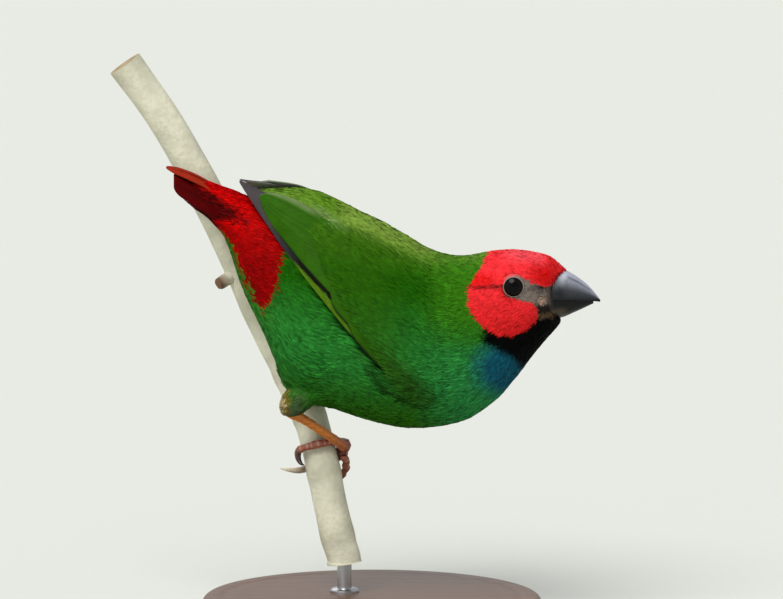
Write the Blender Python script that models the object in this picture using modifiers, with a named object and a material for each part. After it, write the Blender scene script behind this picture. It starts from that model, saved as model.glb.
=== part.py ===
"""Fiji parrotfinch, a still life-size model gripping a slanting stem on a small stand.

The frame: +X is the way the bird faces, +Y its left side, +Z up, and the origin is
the middle of the stand's underside. Sizes below are in millimetres, and mm() turns
them to metres. The body is one loft, parted by thin cuts into torso, neck and head.
The wings and the tail are overlapping vanes laid on shells round that loft.
"""
import math

import bmesh
import bpy
import numpy as np

GAP = 0.3                       # left between touching nodes
ROUND_STEPS = 28                # facets round the body
VANE_THICKNESS = 0.5

# Cuts square to the midline through the body from tail to bill:
# top x, top z, bottom x, bottom z, half width
BODY_CUTS = [
    (-30.7, 89.4, -33.2, 83.4, 2.7), (-27.9, 88.9, -30.3, 80.1, 3.7),
    (-24.8, 88.2, -28.7, 76.4, 5.0), (-20.1, 87.6, -26.2, 68.9, 7.6),
    (-14.3, 87.0, -22.5, 59.8, 10.2), (-8.2, 85.2, -16.8, 48.6, 12.8),
    (-1.2, 82.4, -7.8, 43.5, 14.6), (6.1, 79.5, 6.1, 40.2, 15.2),
    (12.1, 76.8, 17.6, 41.5, 14.4), (16.0, 75.9, 24.6, 45.5, 12.6),
    (19.3, 75.8, 29.1, 50.3, 10.6), (22.1, 76.2, 32.6, 54.9, 9.3),
    (25.4, 76.9, 35.3, 58.2, 8.8), (29.1, 77.1, 37.1, 60.2, 7.9),
    (33.0, 76.6, 38.3, 61.6, 6.6), (36.6, 75.4, 38.7, 62.4, 5.1),
    (39.4, 73.2, 39.0, 62.9, 3.7)]
NECK_REAR_CUT = 8.90            # places of the two partings, counted in body cuts
NECK_FRONT_CUT = 10.50

# The shell that the folded wings lie on, from over the tail to the breast
WING_SHELL_CUTS = [
    (-33.0, 94.6, -36.5, 82.0, 1.9), (-29.9, 93.4, -33.6, 78.9, 3.0),
    (-25.8, 92.1, -29.9, 74.3, 4.8), (-21.3, 91.3, -26.6, 68.5, 7.8),
    (-14.8, 90.3, -22.5, 59.0, 11.4), (-8.6, 87.6, -16.8, 47.8, 14.2),
    (-1.6, 84.5, -8.2, 42.8, 16.2), (6.1, 80.8, 6.1, 39.3, 16.9),
    (12.6, 77.8, 18.6, 40.6, 16.0), (17.0, 76.4, 26.0, 44.4, 14.0)]

EYE_X = 28.9
EYE_Z = 70.3
EYE_RADIUS = 2.7
EYE_OPENING = 1.9               # radius of the bare eye between the lids
EYE_BULGE = 0.25                # how far the lids' plane stands out of the cheek
LID_THICKNESS = 0.45
LID_REACH = 0.35                # from the bare eye's rim to the middle of the lid

STEM_RADIUS = 3.45
BASE_RADIUS = 35.0
BASE_HEIGHT = 5.0
ROD_RADIUS = 1.5

# Middle line of the stem from its cut top to its cut foot: x, y, z
STEM_LINE = [
    (-50.8, 12.0, 113.8), (-42.8, 12.0, 102.4), (-35.5, 12.2, 89.4), (-28.7, 12.8, 75.0),
    (-24.8, 13.2, 66.0), (-20.7, 13.2, 56.9), (-17.8, 12.6, 51.4), (-15.7, 11.6, 46.8),
    (-13.8, 10.2, 42.9), (-12.3, 8.8, 39.3), (-10.8, 6.9, 33.8), (-9.6, 5.9, 28.2),
    (-8.7, 5.2, 23.5), (-7.0, 4.6, 16.1), (-5.9, 4.4, 12.6), (-5.7, 4.4, 11.2)]

PALETTE = {
    "plumage_green": (0.07, 0.21, 0.02), "plumage_red": (0.62, 0.02, 0.015),
    "horn": (0.16, 0.17, 0.19), "eye": (0.01, 0.01, 0.012), "skin": (0.30, 0.13, 0.06),
    "bark": (0.60, 0.58, 0.43), "steel": (0.45, 0.45, 0.46), "wood": (0.24, 0.13, 0.07)}


def mm(values):
    return np.asarray(values, dtype=float) * 0.001


def smooth_rows(table, places):
    """Cubic curve through the table's rows, read at places counted in rows."""
    rows = np.asarray(table, dtype=float)
    slopes = np.gradient(rows, axis=0)
    places = np.clip(np.asarray(places, dtype=float), 0, len(rows) - 1)
    start = np.minimum(places.astype(int), len(rows) - 2)
    t = (places - start)[..., None]
    return ((2 * t ** 3 - 3 * t ** 2 + 1) * rows[start] + (t ** 3 - 2 * t ** 2 + t) * slopes[start]
            + (3 * t ** 2 - 2 * t ** 3) * rows[start + 1] + (t ** 3 - t ** 2) * slopes[start + 1])


def shell_point(table, place, angle, grow=0.0):
    """Point on a lofted shell. The angle runs from the back's ridge down the right side."""
    cut = smooth_rows(table, place)
    top = np.stack([cut[..., 0], np.zeros_like(cut[..., 0]), cut[..., 1]], axis=-1)
    bottom = np.stack([cut[..., 2], np.zeros_like(cut[..., 0]), cut[..., 3]], axis=-1)
    half = np.linalg.norm(top - bottom, axis=-1)[..., None] / 2
    upward = (top - bottom) / (2 * half)
    side = np.array([0.0, -1.0, 0.0])
    reach = np.asarray(angle)[..., None]
    width = cut[..., 4:5] + grow
    return (top + bottom) / 2 + (half + grow) * np.cos(reach) * upward + width * np.sin(reach) * side


def shell_frame(table, place, angle):
    """Point, outward normal and bend radius round the shell."""
    step = 0.01
    point = shell_point(table, place, angle)
    along = shell_point(table, place + step, angle) - shell_point(table, place - step, angle)
    across = shell_point(table, place, angle + step) - shell_point(table, place, angle - step)
    normal = np.cross(across, along)
    normal /= np.linalg.norm(normal, axis=-1)[..., None]
    cut = smooth_rows(table, place)
    half = np.hypot(cut[..., 0] - cut[..., 2], cut[..., 1] - cut[..., 3]) / 2
    width = cut[..., 4]
    bend = ((half * np.sin(angle)) ** 2 + (width * np.cos(angle)) ** 2) ** 1.5 / (half * width)
    return point, normal, bend


def shell_place(table, x, z):
    """Place and angle on the shell's right side of a point given in side view."""
    places = np.linspace(0, len(table) - 1, 600)
    cut = smooth_rows(table, places)
    across = (cut[:, 2] - cut[:, 0]) * (z - cut[:, 1]) - (cut[:, 3] - cut[:, 1]) * (x - cut[:, 0])
    best = np.argmin(np.abs(across) / np.hypot(cut[:, 2] - cut[:, 0], cut[:, 3] - cut[:, 1]))
    top_x, top_z, low_x, low_z = cut[best, :4]
    share = ((x - top_x) * (low_x - top_x) + (z - top_z) * (low_z - top_z))
    share /= (low_x - top_x) ** 2 + (low_z - top_z) ** 2
    return places[best], math.acos(np.clip(1 - 2 * share, -1, 1))


def make_object(name, points, faces, collection):
    mesh = bpy.data.meshes.new(name)
    mesh.from_pydata([tuple(p) for p in mm(points)], [], faces)
    mesh.update()
    work = bmesh.new()
    work.from_mesh(mesh)
    bmesh.ops.recalc_face_normals(work, faces=work.faces)
    work.to_mesh(mesh)
    work.free()
    obj = bpy.data.objects.new(name, mesh)
    collection.objects.link(obj)
    return obj


def tube_mesh(name, rings, collection):
    """Closed skin over rings of points, with a fan at each end."""
    count, around, _ = rings.shape
    points = np.concatenate([rings.reshape(-1, 3), rings[:1].mean(axis=1), rings[-1:].mean(axis=1)])
    faces = []
    for i in range(count - 1):
        for j in range(around):
            a, b = i * around + j, i * around + (j + 1) % around
            faces.append((a, b, b + around))
            faces.append((a, b + around, a + around))
    first, last = count * around, count * around + 1
    for j in range(around):
        faces.append((first, (j + 1) % around, j))
        faces.append((last, (count - 1) * around + j, (count - 1) * around + (j + 1) % around))
    return make_object(name, points, faces, collection)


def plate_mesh(name, upper, lower, collection):
    """Closed plate between two grids of points, split into triangles alike on both faces."""
    m, n, _ = upper.shape
    points = np.concatenate([upper.reshape(-1, 3), lower.reshape(-1, 3)])
    shift = m * n
    faces = []
    for i in range(m - 1):
        for j in range(n - 1):
            a, b, c, d = i * n + j, i * n + j + 1, (i + 1) * n + j + 1, (i + 1) * n + j
            faces += [(a, b, c), (a, c, d)]
            faces += [(c + shift, b + shift, a + shift), (d + shift, c + shift, a + shift)]
    rim = [j for j in range(n)] + [i * n + n - 1 for i in range(1, m)]
    rim += [(m - 1) * n + j for j in range(n - 2, -1, -1)] + [i * n for i in range(m - 2, 0, -1)]
    for a, b in zip(rim, rim[1:] + rim[:1]):
        faces += [(a, a + shift, b + shift), (a, b + shift, b)]
    return make_object(name, points, faces, collection)


def body_rings(start, end, steps, grow=0.0, pull=0.0):
    """Rings of the body loft. Pull moves the end rings inward along the body."""
    places = np.linspace(start, end, steps)
    angles = np.linspace(0, 2 * math.pi, ROUND_STEPS, endpoint=False)
    rings = shell_point(BODY_CUTS, places[:, None], angles[None, :] + 0 * places[:, None], grow)
    for ring, near in ((0, 1), (-1, -2)):
        ahead = np.cross(rings[ring][0] - rings[ring][ROUND_STEPS // 2], [0.0, 1.0, 0.0])
        ahead /= np.linalg.norm(ahead)
        inward = rings[near].mean(axis=0) - rings[ring].mean(axis=0)
        rings[ring] += ahead * pull * math.copysign(1.0, float(ahead @ inward))
    return rings


def curve_limb(name, line, radii, collection, resolution=1):
    """Tapered round limb: a curve with a bevel, made a welded closed mesh."""
    data = bpy.data.curves.new(name, "CURVE")
    data.dimensions = "3D"
    data.bevel_depth = 0.001
    data.bevel_resolution = resolution
    data.use_fill_caps = True
    spline = data.splines.new("POLY")
    spline.points.add(len(line) - 1)
    for point, place, radius in zip(spline.points, mm(line), radii):
        point.co = (*place, 1.0)
        point.radius = radius
    curve = bpy.data.objects.new(name + "_curve", data)
    collection.objects.link(curve)
    bpy.context.view_layer.update()
    evaluated = curve.evaluated_get(bpy.context.evaluated_depsgraph_get())
    mesh = bpy.data.meshes.new_from_object(evaluated)
    work = bmesh.new()
    work.from_mesh(mesh)
    bmesh.ops.remove_doubles(work, verts=work.verts, dist=0.000002)
    bmesh.ops.triangulate(work, faces=work.faces)
    bmesh.ops.recalc_face_normals(work, faces=work.faces)
    work.to_mesh(mesh)
    work.free()
    obj = bpy.data.objects.new(name, mesh)
    obj.matrix_world = curve.matrix_world
    collection.objects.link(obj)
    bpy.data.objects.remove(curve)
    return obj


def smooth_line(points, steps):
    places = np.linspace(0, len(points) - 1, steps)
    return smooth_rows(points, places)


def ellipsoid(name, centre, radii, collection, segments=16):
    work = bmesh.new()
    bmesh.ops.create_uvsphere(work, u_segments=segments, v_segments=segments // 2 + 2, radius=1.0)
    for vert in work.verts:
        vert.co = tuple(mm(np.array(vert.co) * radii + centre))
    mesh = bpy.data.meshes.new(name)
    work.to_mesh(mesh)
    work.free()
    obj = bpy.data.objects.new(name, mesh)
    collection.objects.link(obj)
    return obj


def bake(obj):
    """Applies the object's modifiers to its mesh."""
    bpy.context.view_layer.update()
    evaluated = obj.evaluated_get(bpy.context.evaluated_depsgraph_get())
    mesh = bpy.data.meshes.new_from_object(evaluated)
    obj.modifiers.clear()
    obj.data = mesh


def largest_surface(obj):
    """Keeps the object's largest closed surface and drops loose scraps."""
    work = bmesh.new()
    work.from_mesh(obj.data)
    work.verts.ensure_lookup_table()
    left = set(work.verts)
    groups = []
    while left:
        seed = left.pop()
        group, stack = {seed}, [seed]
        while stack:
            for edge in stack.pop().link_edges:
                for vert in edge.verts:
                    if vert in left:
                        left.discard(vert)
                        group.add(vert)
                        stack.append(vert)
        groups.append(group)
    groups.sort(key=len)
    for group in groups[:-1]:
        bmesh.ops.delete(work, geom=list(group), context="VERTS")
    work.to_mesh(obj.data)
    work.free()


def join(obj, pieces, solver="MANIFOLD"):
    """Fuses the pieces into the object with one Boolean union."""
    group = bpy.data.collections.new("pieces_of_" + obj.name)
    bpy.context.scene.collection.children.link(group)
    for piece in pieces:
        for owner in piece.users_collection:
            owner.objects.unlink(piece)
        group.objects.link(piece)
    union = obj.modifiers.new("fuse", "BOOLEAN")
    union.operation = "UNION"
    union.solver = solver
    union.operand_type = "COLLECTION"
    union.collection = group
    bake(obj)
    for piece in list(group.objects):
        bpy.data.objects.remove(piece)
    bpy.data.collections.remove(group)
    largest_surface(obj)


def cut(obj, cutter, solver="MANIFOLD"):
    """Cuts the object by a cutter, which stays for later cuts."""
    knife = obj.modifiers.new("cut", "BOOLEAN")
    knife.operation = "DIFFERENCE"
    knife.solver = solver
    knife.object = cutter
    bake(obj)
    largest_surface(obj)


def finish(obj, colour, roughness, metallic=0.0, smooth=True):
    """Gives the node its own Principled material and its shading."""
    material = bpy.data.materials.new(obj.name)
    material.use_nodes = True
    shader = material.node_tree.nodes["Principled BSDF"]
    shader.inputs["Base Color"].default_value = (*PALETTE[colour], 1.0)
    shader.inputs["Roughness"].default_value = roughness
    shader.inputs["Metallic"].default_value = metallic
    obj.data.materials.clear()
    obj.data.materials.append(material)
    if smooth:
        obj.data.shade_smooth()
        obj.data.set_sharp_from_angle(angle=math.radians(50))


def hide_cutter(obj):
    obj.hide_render = True
    obj.display_type = "WIRE"


# Vanes

def vane_shape(t):
    """Half width along a vane as a share of its widest: narrow root, rounded tip."""
    rise = 0.5 + 0.5 * np.clip(t / 0.45, 0, 1)
    tip = np.sqrt(np.clip(1 - (np.clip(t - 0.80, 0, 1) / 0.205) ** 2, 0, 1))
    return rise * tip


LONG_VANE = np.array([0.0, 0.3, 0.6, 0.8, 0.93, 1.0])      # stations along a vane
SHORT_VANE = np.array([0.0, 0.5, 0.85, 1.0])


def lean_over(angle, lean):
    """Turns the upper part of a folded wing towards the back's ridge by the lean."""
    return angle - lean * np.clip((1.75 - angle) / 0.95, 0, 1)


def wing_points(side_view, lean):
    """Points, outward normals and bends on the wing shell under a line in side view."""
    spots = np.array([shell_place(WING_SHELL_CUTS, x, z) for x, z in side_view])
    return shell_frame(WING_SHELL_CUTS, spots[:, 0], lean_over(spots[:, 1], lean))


def shell_vane(name, root, tip, half_width, depth, bow, lean, mirror, collection):
    """Vane on the wing shell. Root and tip are in side view, depth lies under the shell."""
    run = np.subtract(tip, root)
    t = LONG_VANE if np.hypot(*run) > 20 else SHORT_VANE
    aside = np.array([-run[1], run[0]]) / np.hypot(*run)
    line = np.array(root) + t[:, None] * run + (bow * np.sin(math.pi * t))[:, None] * aside
    point, normal, bend = wing_points(line, lean)
    along = np.gradient(point, axis=0)
    along /= np.linalg.norm(along, axis=1)[:, None]
    sideways = np.cross(normal, along)
    sideways /= np.linalg.norm(sideways, axis=1)[:, None]
    c = np.array([-1.0, 0.0, 1.0])[None, :, None]
    reach = c * (half_width * vane_shape(t))[:, None, None]
    under = (depth[0] + (depth[1] - depth[0]) * t)[:, None, None]
    drop = under + reach ** 2 / (2 * bend[:, None, None])
    upper = point[:, None] + sideways[:, None] * reach - normal[:, None] * drop
    lower = upper - normal[:, None] * VANE_THICKNESS
    if mirror:
        upper = upper * [1.0, -1.0, 1.0]
        lower = lower * [1.0, -1.0, 1.0]
    return plate_mesh(name, upper, lower, collection)


# Flight feathers and coverts of one wing, each tier from its outermost feather to its
# innermost: count, first and last root, first and last tip (side view x and z), half
# width, depth under the shell at root and tip, how much each lies over the last, and bow
WING_TIERS = [
    ("primary", 8, (7.6, 48.4), (1.0, 62.0), (-25.6, 91.0), (-19.6, 86.2), 1.9, (2.1, 1.5), 0.12, -0.3),
    ("secondary", 6, (0.4, 62.5), (-1.6, 73.0), (-21.3, 87.2), (-15.0, 84.6), 2.3, (1.3, 0.85), 0.11, -0.3),
    ("tertial", 3, (-2.6, 75.0), (-3.0, 78.6), (-21.6, 88.6), (-11.0, 84.2), 2.4, (0.75, 0.15), 0.25, 0.6),
    ("primary_covert", 3, (8.2, 49.0), (4.6, 57.0), (-4.4, 63.2), (-6.6, 68.0),
     1.6, (1.3, 0.75), 0.05, -0.2),
    ("greater_covert", 6, (4.0, 58.0), (2.6, 74.0), (-8.2, 69.0), (-9.2, 80.6), 1.9, (0.9, 0.15), 0.05, 0.0),
    ("median_covert", 5, (10.4, 53.0), (7.0, 73.5), (0.4, 60.4), (-3.6, 79.6), 2.0, (0.6, -0.1), 0.03, 0.0)]

# Lower and upper edge of the wing's thick fore part in side view, from wrist to mid wing
WING_CORE_LOW = [(10.2, 47.4), (5.6, 49.4), (0.8, 54.8), (-3.0, 61.4), (-6.6, 67.0)]
WING_CORE_HIGH = [(12.4, 54.0), (12.2, 65.0), (7.4, 73.6), (1.2, 77.6), (-5.6, 80.0)]
LEFT_WING_LEAN = 0.42           # the left wing lies further over the ridge, in radians


def wing_core(name, lean, mirror, collection):
    """Thick fore part of the folded wing, a plate let into the shell between two edges."""
    t = np.linspace(0, 1, 8)
    low, high = smooth_line(WING_CORE_LOW, 8), smooth_line(WING_CORE_HIGH, 8)
    c = np.linspace(0, 1, 7)
    side_view = low[:, None] + (high - low)[:, None] * c[None, :, None]
    point, normal, _ = wing_points(side_view.reshape(-1, 2), lean)
    point, normal = point.reshape(8, 7, 3), normal.reshape(8, 7, 3)
    fullness = (1 - (2 * c[None, :] - 1) ** 4) * (1 - (2 * t[:, None] - 1) ** 6)
    upper = point - normal * (0.95 - 0.6 * fullness)[..., None]
    lower = point - normal * (1.55 + 0.3 * fullness)[..., None]
    if mirror:
        upper = upper * [1.0, -1.0, 1.0]
        lower = lower * [1.0, -1.0, 1.0]
    return plate_mesh(name, upper, lower, collection)


def make_wing(name, mirror, model, body_cutter):
    lean = LEFT_WING_LEAN if mirror else 0.0
    core = wing_core(name, lean, mirror, model)
    vanes = []
    for tier, count, root_a, root_b, tip_a, tip_b, width, depth, lap, bow in WING_TIERS:
        for k in range(count):
            share = k / (count - 1)
            root = np.array(root_a) + share * np.subtract(root_b, root_a)
            tip = np.array(tip_a) + share * np.subtract(tip_b, tip_a)
            sunk = (depth[0] - lap * k, depth[1] - lap * k)
            vanes.append(shell_vane(f"{name}_{tier}_{k}", root, tip, width, sunk, bow, lean, mirror, model))
    join(core, vanes)
    cut(core, body_cutter)
    finish(core, "plumage_green", 0.6)


# Tail

TAIL_ROOT = (-27.6, 84.6)
TAIL_TIP_TOP = (-42.0, 94.2)
TAIL_TIP_LOW = (-40.4, 90.0)
TAIL_PAIRS = 6
TAIL_HALF_WIDTH = 2.1


def make_tail(model, body_cutter):
    """Twelve rectrices in a closed, roof-shaped fan, fused at a short core."""
    core = ellipsoid("tail", (-31.4, 0.0, 86.3), (4.6, 2.4, 2.9), model, 12)
    vanes = []
    for pair in range(TAIL_PAIRS):
        share = pair / (TAIL_PAIRS - 1)
        tip_x = TAIL_TIP_TOP[0] + share * (TAIL_TIP_LOW[0] - TAIL_TIP_TOP[0])
        tip_z = TAIL_TIP_TOP[1] + share * (TAIL_TIP_LOW[1] - TAIL_TIP_TOP[1])
        for side in (-1, 1):
            root = np.array([TAIL_ROOT[0], side * (0.3 + 1.1 * share), TAIL_ROOT[1] + 1.6 - 3.4 * share])
            tip = np.array([tip_x, side * (0.75 + 2.6 * share), tip_z - 0.12 * (side + 1)])
            along = (tip - root) / np.linalg.norm(tip - root)
            roll = side * (0.12 + 0.95 * share)
            across = np.array([0.0, math.cos(roll), -math.sin(roll)])
            across -= along * float(across @ along)
            across /= np.linalg.norm(across)
            upward = np.cross(across, along)
            upward *= math.copysign(1.0, upward[2])
            t = np.array([0.0, 0.35, 0.65, 0.85, 1.0])
            width = TAIL_HALF_WIDTH * np.array([0.55, 0.9, 1.0, 0.8, 0.22])
            if pair == 0:
                width = TAIL_HALF_WIDTH * np.array([0.5, 0.75, 0.8, 0.5, 0.12])
            c = np.linspace(-1, 1, 3)[None, :, None]
            lift = 0.35 * np.sin(math.pi * t)[:, None, None]
            upper = root + np.outer(t, tip - root)[:, None] + across * c * width[:, None, None]
            upper = upper + upward * (lift - 0.15 * c ** 2)
            vanes.append(plate_mesh(f"rectrix_{pair}_{side}", upper, upper - upward * VANE_THICKNESS, model))
    join(core, vanes)
    cut(core, body_cutter)
    finish(core, "plumage_red", 0.6)
    return core


# Bill

NOSTRIL_PLACE = np.array([39.9, 2.5, 70.7])     # x, distance from the midline, z
NOSTRIL_RADII = (0.55, 0.7, 0.35)
# Sections of both halves from root to tip: x, ridge z, edge z, half width
UPPER_BILL = [
    (35.6, 71.2, 66.9, 3.2), (38.2, 72.6, 66.9, 3.45), (40.0, 72.3, 66.9, 3.3), (42.3, 70.7, 66.8, 2.75),
    (44.4, 68.9, 66.5, 1.85), (45.8, 67.5, 66.3, 0.95), (46.6, 66.5, 66.15, 0.25)]
LOWER_BILL = [
    (34.4, 63.6, 65.9, 3.9), (37.0, 62.9, 66.4, 3.7), (39.0, 62.9, 66.55, 3.3), (41.4, 63.9, 66.45, 2.6),
    (43.6, 64.9, 66.15, 1.6), (45.4, 65.75, 66.0, 0.5)]


def bill_rings(table, grow, steps):
    """Half-round sections: a flat edge side and an arched ridge side."""
    rows = smooth_rows(table, np.linspace(0, len(table) - 1, steps))
    around = 12
    turn = np.linspace(0, math.pi, around)
    x, ridge, edge, width = rows.T
    arch = np.sin(turn)[None, :] ** 0.8
    height = (ridge - edge)[:, None]
    side = np.cos(turn)[None, :] * (width[:, None] + grow)
    swell = grow * np.sign(height)
    z = edge[:, None] - swell + (height + 2 * swell) * arch
    rings = np.stack([x[:, None] + 0 * side, side, z], axis=-1)
    rings[0, :, 0] -= grow
    rings[-1, :, 0] += grow
    return rings


def make_bill(model, cutters):
    upper = tube_mesh("bill_upper", bill_rings(UPPER_BILL, 0.0, 13), model)
    lower = tube_mesh("bill_lower", bill_rings(LOWER_BILL, 0.0, 11), model)
    for side in (-1, 1):
        nostril = ellipsoid(f"nostril_{side}", NOSTRIL_PLACE * [1, side, 1], NOSTRIL_RADII, cutters, 8)
        cut(upper, nostril)
        hide_cutter(nostril)
    upper_cutter = tube_mesh("bill_upper_room", bill_rings(UPPER_BILL, GAP, 13), cutters)
    lower_cutter = tube_mesh("bill_lower_room", bill_rings(LOWER_BILL, GAP, 11), cutters)
    for cutter in (upper_cutter, lower_cutter):
        hide_cutter(cutter)
    finish(upper, "horn", 0.35)
    finish(lower, "horn", 0.35)
    return upper_cutter, lower_cutter


# Head and eyes

def eye_centre(side):
    place, angle = shell_place(BODY_CUTS, EYE_X, EYE_Z)
    surface = shell_point(BODY_CUTS, np.array(place), np.array(angle))
    sink = math.sqrt(EYE_RADIUS ** 2 - EYE_OPENING ** 2) - EYE_BULGE
    return np.array([surface[0], side * (abs(surface[1]) - sink), surface[2]])


def make_head(model, cutters):
    head = tube_mesh("head", body_rings(NECK_FRONT_CUT, len(BODY_CUTS) - 1, 14, pull=GAP / 2), model)
    for side, name in ((-1, "eye_right"), (1, "eye_left")):
        centre = eye_centre(side)
        bpy.ops.mesh.primitive_torus_add(major_segments=18, minor_segments=6,
                                         major_radius=(EYE_OPENING + LID_REACH) * 0.001,
                                         minor_radius=LID_THICKNESS * 0.001)
        lid = bpy.context.object
        lid.name = name + "_lid"
        lid_y = centre[1] + side * math.sqrt(EYE_RADIUS ** 2 - EYE_OPENING ** 2)
        lid.rotation_euler = (math.pi / 2, 0, 0)
        lid.location = tuple(mm((centre[0], lid_y, centre[2])))
        join(head, [lid])
        room = ellipsoid(name + "_room", centre, (EYE_RADIUS + GAP,) * 3, cutters, 16)
        cut(head, room)
        hide_cutter(room)
        eye = ellipsoid(name, centre, (EYE_RADIUS,) * 3, model, 14)
        finish(eye, "eye", 0.05)
    for cutter in make_bill(model, cutters):
        cut(head, cutter)
    finish(head, "plumage_red", 0.7)


# Legs and feet

# Thigh from the flank to the ankle, and shank from the ankle to the ball of the foot
THIGH_RADII = np.linspace(4.3, 1.45, 7)
SHANK_RADII = np.array([1.15, 0.85, 0.75, 0.72, 0.74, 0.8, 0.95])
RIGHT_BALL_HEIGHT = 33.9        # where the ball of each foot grips the stem
LEFT_BALL_HEIGHT = 45.4
RIGHT_THIGH = [(-7.6, -6.5, 50.6), (-12.6, -5.6, 47.4), (-16.9, -4.1, 44.6)]
RIGHT_SHANK = [(-16.9, -3.8, 43.6), (-13.6, -1.9, 41.4), (-9.2, 1.2, 38.0), (-5.9, 4.4, 35.3)]
LEFT_THIGH = [(-6.5, 10.0, 60.5), (-10.8, 11.0, 60.8), (-14.2, 11.9, 60.4)]
LEFT_SHANK = [(-14.6, 12.0, 59.4), (-13.6, 11.9, 56.0), (-12.0, 11.6, 51.4), (-10.2, 11.4, 47.3)]
BALL_REACH = 1.9                # from the stem's bark to the middle of the ball

# Toes as turns round the stem: start and end angle (0 is the stem's right side, a
# quarter turn on is behind it), start and end height over the ball, radius, claw length
# and how far the claw's tip rises
TOES = [
    ("hind", 0.05, -2.45, 0.6, 0.9, 0.85, 4.0, -2.2), ("inner", 0.15, 1.9, 0.3, -0.9, 0.72, 2.6, -0.8),
    ("middle", 0.05, 2.85, -0.9, -3.3, 0.78, 4.4, 1.6), ("outer", -0.15, 1.8, -1.8, -5.0, 0.72, 2.6, -0.8)]


def stem_frame(height):
    """Middle of the stem at a height, and its unit directions to the right and behind."""
    line = smooth_line(STEM_LINE, 400)
    order = np.argsort(line[:, 2])
    middle = np.array([np.interp(height, line[order, 2], line[order, k]) for k in range(3)])
    above = np.array([np.interp(height + 0.5, line[order, 2], line[order, k]) for k in range(3)])
    axis = (above - middle) / np.linalg.norm(above - middle)
    behind = np.array([0.0, 1.0, 0.0]) - axis * axis[1]
    behind /= np.linalg.norm(behind)
    return middle, np.cross(behind, axis), behind


def round_stem(height, away, turn):
    middle, right, behind = stem_frame(height)
    return middle + away * (math.cos(turn) * right + math.sin(turn) * behind)


def make_foot(name, ball_z, toe_slope, wrap, model):
    """Ball, four gripping toes and their claws, fused into one node. The toes wind down
    the stem where their slope is over 0 and up it where it is under 0, and wrap is their reach."""
    ball = ellipsoid(name, round_stem(ball_z, STEM_RADIUS + BALL_REACH, -0.1), (1.35, 1.5, 1.5), model, 10)
    pieces = []
    share = np.linspace(0, 1, 8)
    for toe, start, end, rise, fall, radius, length, claw_rise in TOES:
        pads = 0.25 * np.sin(share * math.pi * 4) ** 2
        reach = STEM_RADIUS * 1.05 + GAP + radius * 1.15
        line = np.array([
            round_stem(ball_z + toe_slope * (rise + (fall - rise) * part), reach + pad,
                       start + (wrap * end - start) * part) for part, pad in zip(share, pads)])
        joint = 1 + 0.08 * np.cos(share * math.pi * 6)
        pieces.append(curve_limb(f"{name}_{toe}", line, radius * joint * (1.06 - 0.2 * share), model))
        heading = line[-1] - line[-2]
        heading /= np.linalg.norm(heading)
        outward = line[-1] - round_stem(line[-1][2], 0.0, 0.0)
        outward /= np.linalg.norm(outward)
        claw_t = np.linspace(0, 1, 5)[:, None]
        claw = line[-1] - heading * 0.5 + heading * length * claw_t
        claw += np.array([0.0, 0.0, toe_slope * claw_rise]) * claw_t ** 2 + outward * 0.45 * claw_t
        claw_radii = radius * np.array([0.8, 0.66, 0.5, 0.32, 0.1])
        pieces.append(curve_limb(f"{name}_{toe}_claw", claw, claw_radii, model))
    join(ball, pieces)
    return ball


def make_leg(side, thigh_line, shank_line, ball_z, toe_slope, wrap, model, body_cutter):
    """Thigh, shank and foot, each cut clear of the one before it."""
    thigh_path, shank_path = smooth_line(thigh_line, 7), smooth_line(shank_line, 7)
    thigh = curve_limb("thigh_" + side, thigh_path, THIGH_RADII, model, 3)
    cut(thigh, body_cutter)
    finish(thigh, "plumage_green", 0.75)
    shank = curve_limb("shank_" + side, shank_path, SHANK_RADII, model, 2)
    cut(shank, body_cutter)
    thigh_room = curve_limb("thigh_room_" + side, thigh_path, THIGH_RADII + GAP, model, 3)
    cut(shank, thigh_room)
    bpy.data.objects.remove(thigh_room)
    finish(shank, "skin", 0.55)
    foot = make_foot("foot_" + side, ball_z, toe_slope, wrap, model)
    shank_room = curve_limb("shank_room_" + side, shank_path, SHANK_RADII + GAP, model, 2)
    cut(foot, shank_room)
    bpy.data.objects.remove(shank_room)
    finish(foot, "skin", 0.55)


# Perch and stand

STUB_HEIGHT = 70.6


def make_perch(model):
    """Cut length of stem, a little thicker at its nodes, with a broken twig's stub."""
    nodes = 1 + 0.05 * np.cos(np.linspace(0, 7 * math.pi, 40)) ** 8
    stem = curve_limb("perch_stem", smooth_line(STEM_LINE, 40), STEM_RADIUS * nodes, model, 3)
    stub_line = [round_stem(STUB_HEIGHT, away, -2.6) for away in (1.0, 4.4, 6.4)]
    stub = curve_limb("stub", stub_line, [1.5, 1.35, 1.1], model, 1)
    join(stem, [stub])
    finish(stem, "bark", 0.7)


def make_stand(model):
    bpy.ops.mesh.primitive_cylinder_add(vertices=48, radius=BASE_RADIUS * 0.001, depth=BASE_HEIGHT * 0.001,
                                        location=(0, 0, BASE_HEIGHT * 0.0005))
    base = bpy.context.object
    base.name = "stand_base"
    bevel = base.modifiers.new("edge", "BEVEL")
    bevel.width = 0.0008
    bevel.segments = 2
    bevel.limit_method = "ANGLE"
    finish(base, "wood", 0.4)
    foot = STEM_LINE[-1]
    low = BASE_HEIGHT + GAP
    high = foot[2] - GAP
    bpy.ops.mesh.primitive_cylinder_add(vertices=20, radius=ROD_RADIUS * 0.001, depth=(high - low) * 0.001,
                                        location=tuple(mm((foot[0], foot[1], (low + high) / 2))))
    rod = bpy.context.object
    rod.name = "stand_rod"
    finish(rod, "steel", 0.3, 1.0)
    for obj in (base, rod):
        for owner in obj.users_collection:
            owner.objects.unlink(obj)
        model.objects.link(obj)


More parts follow.
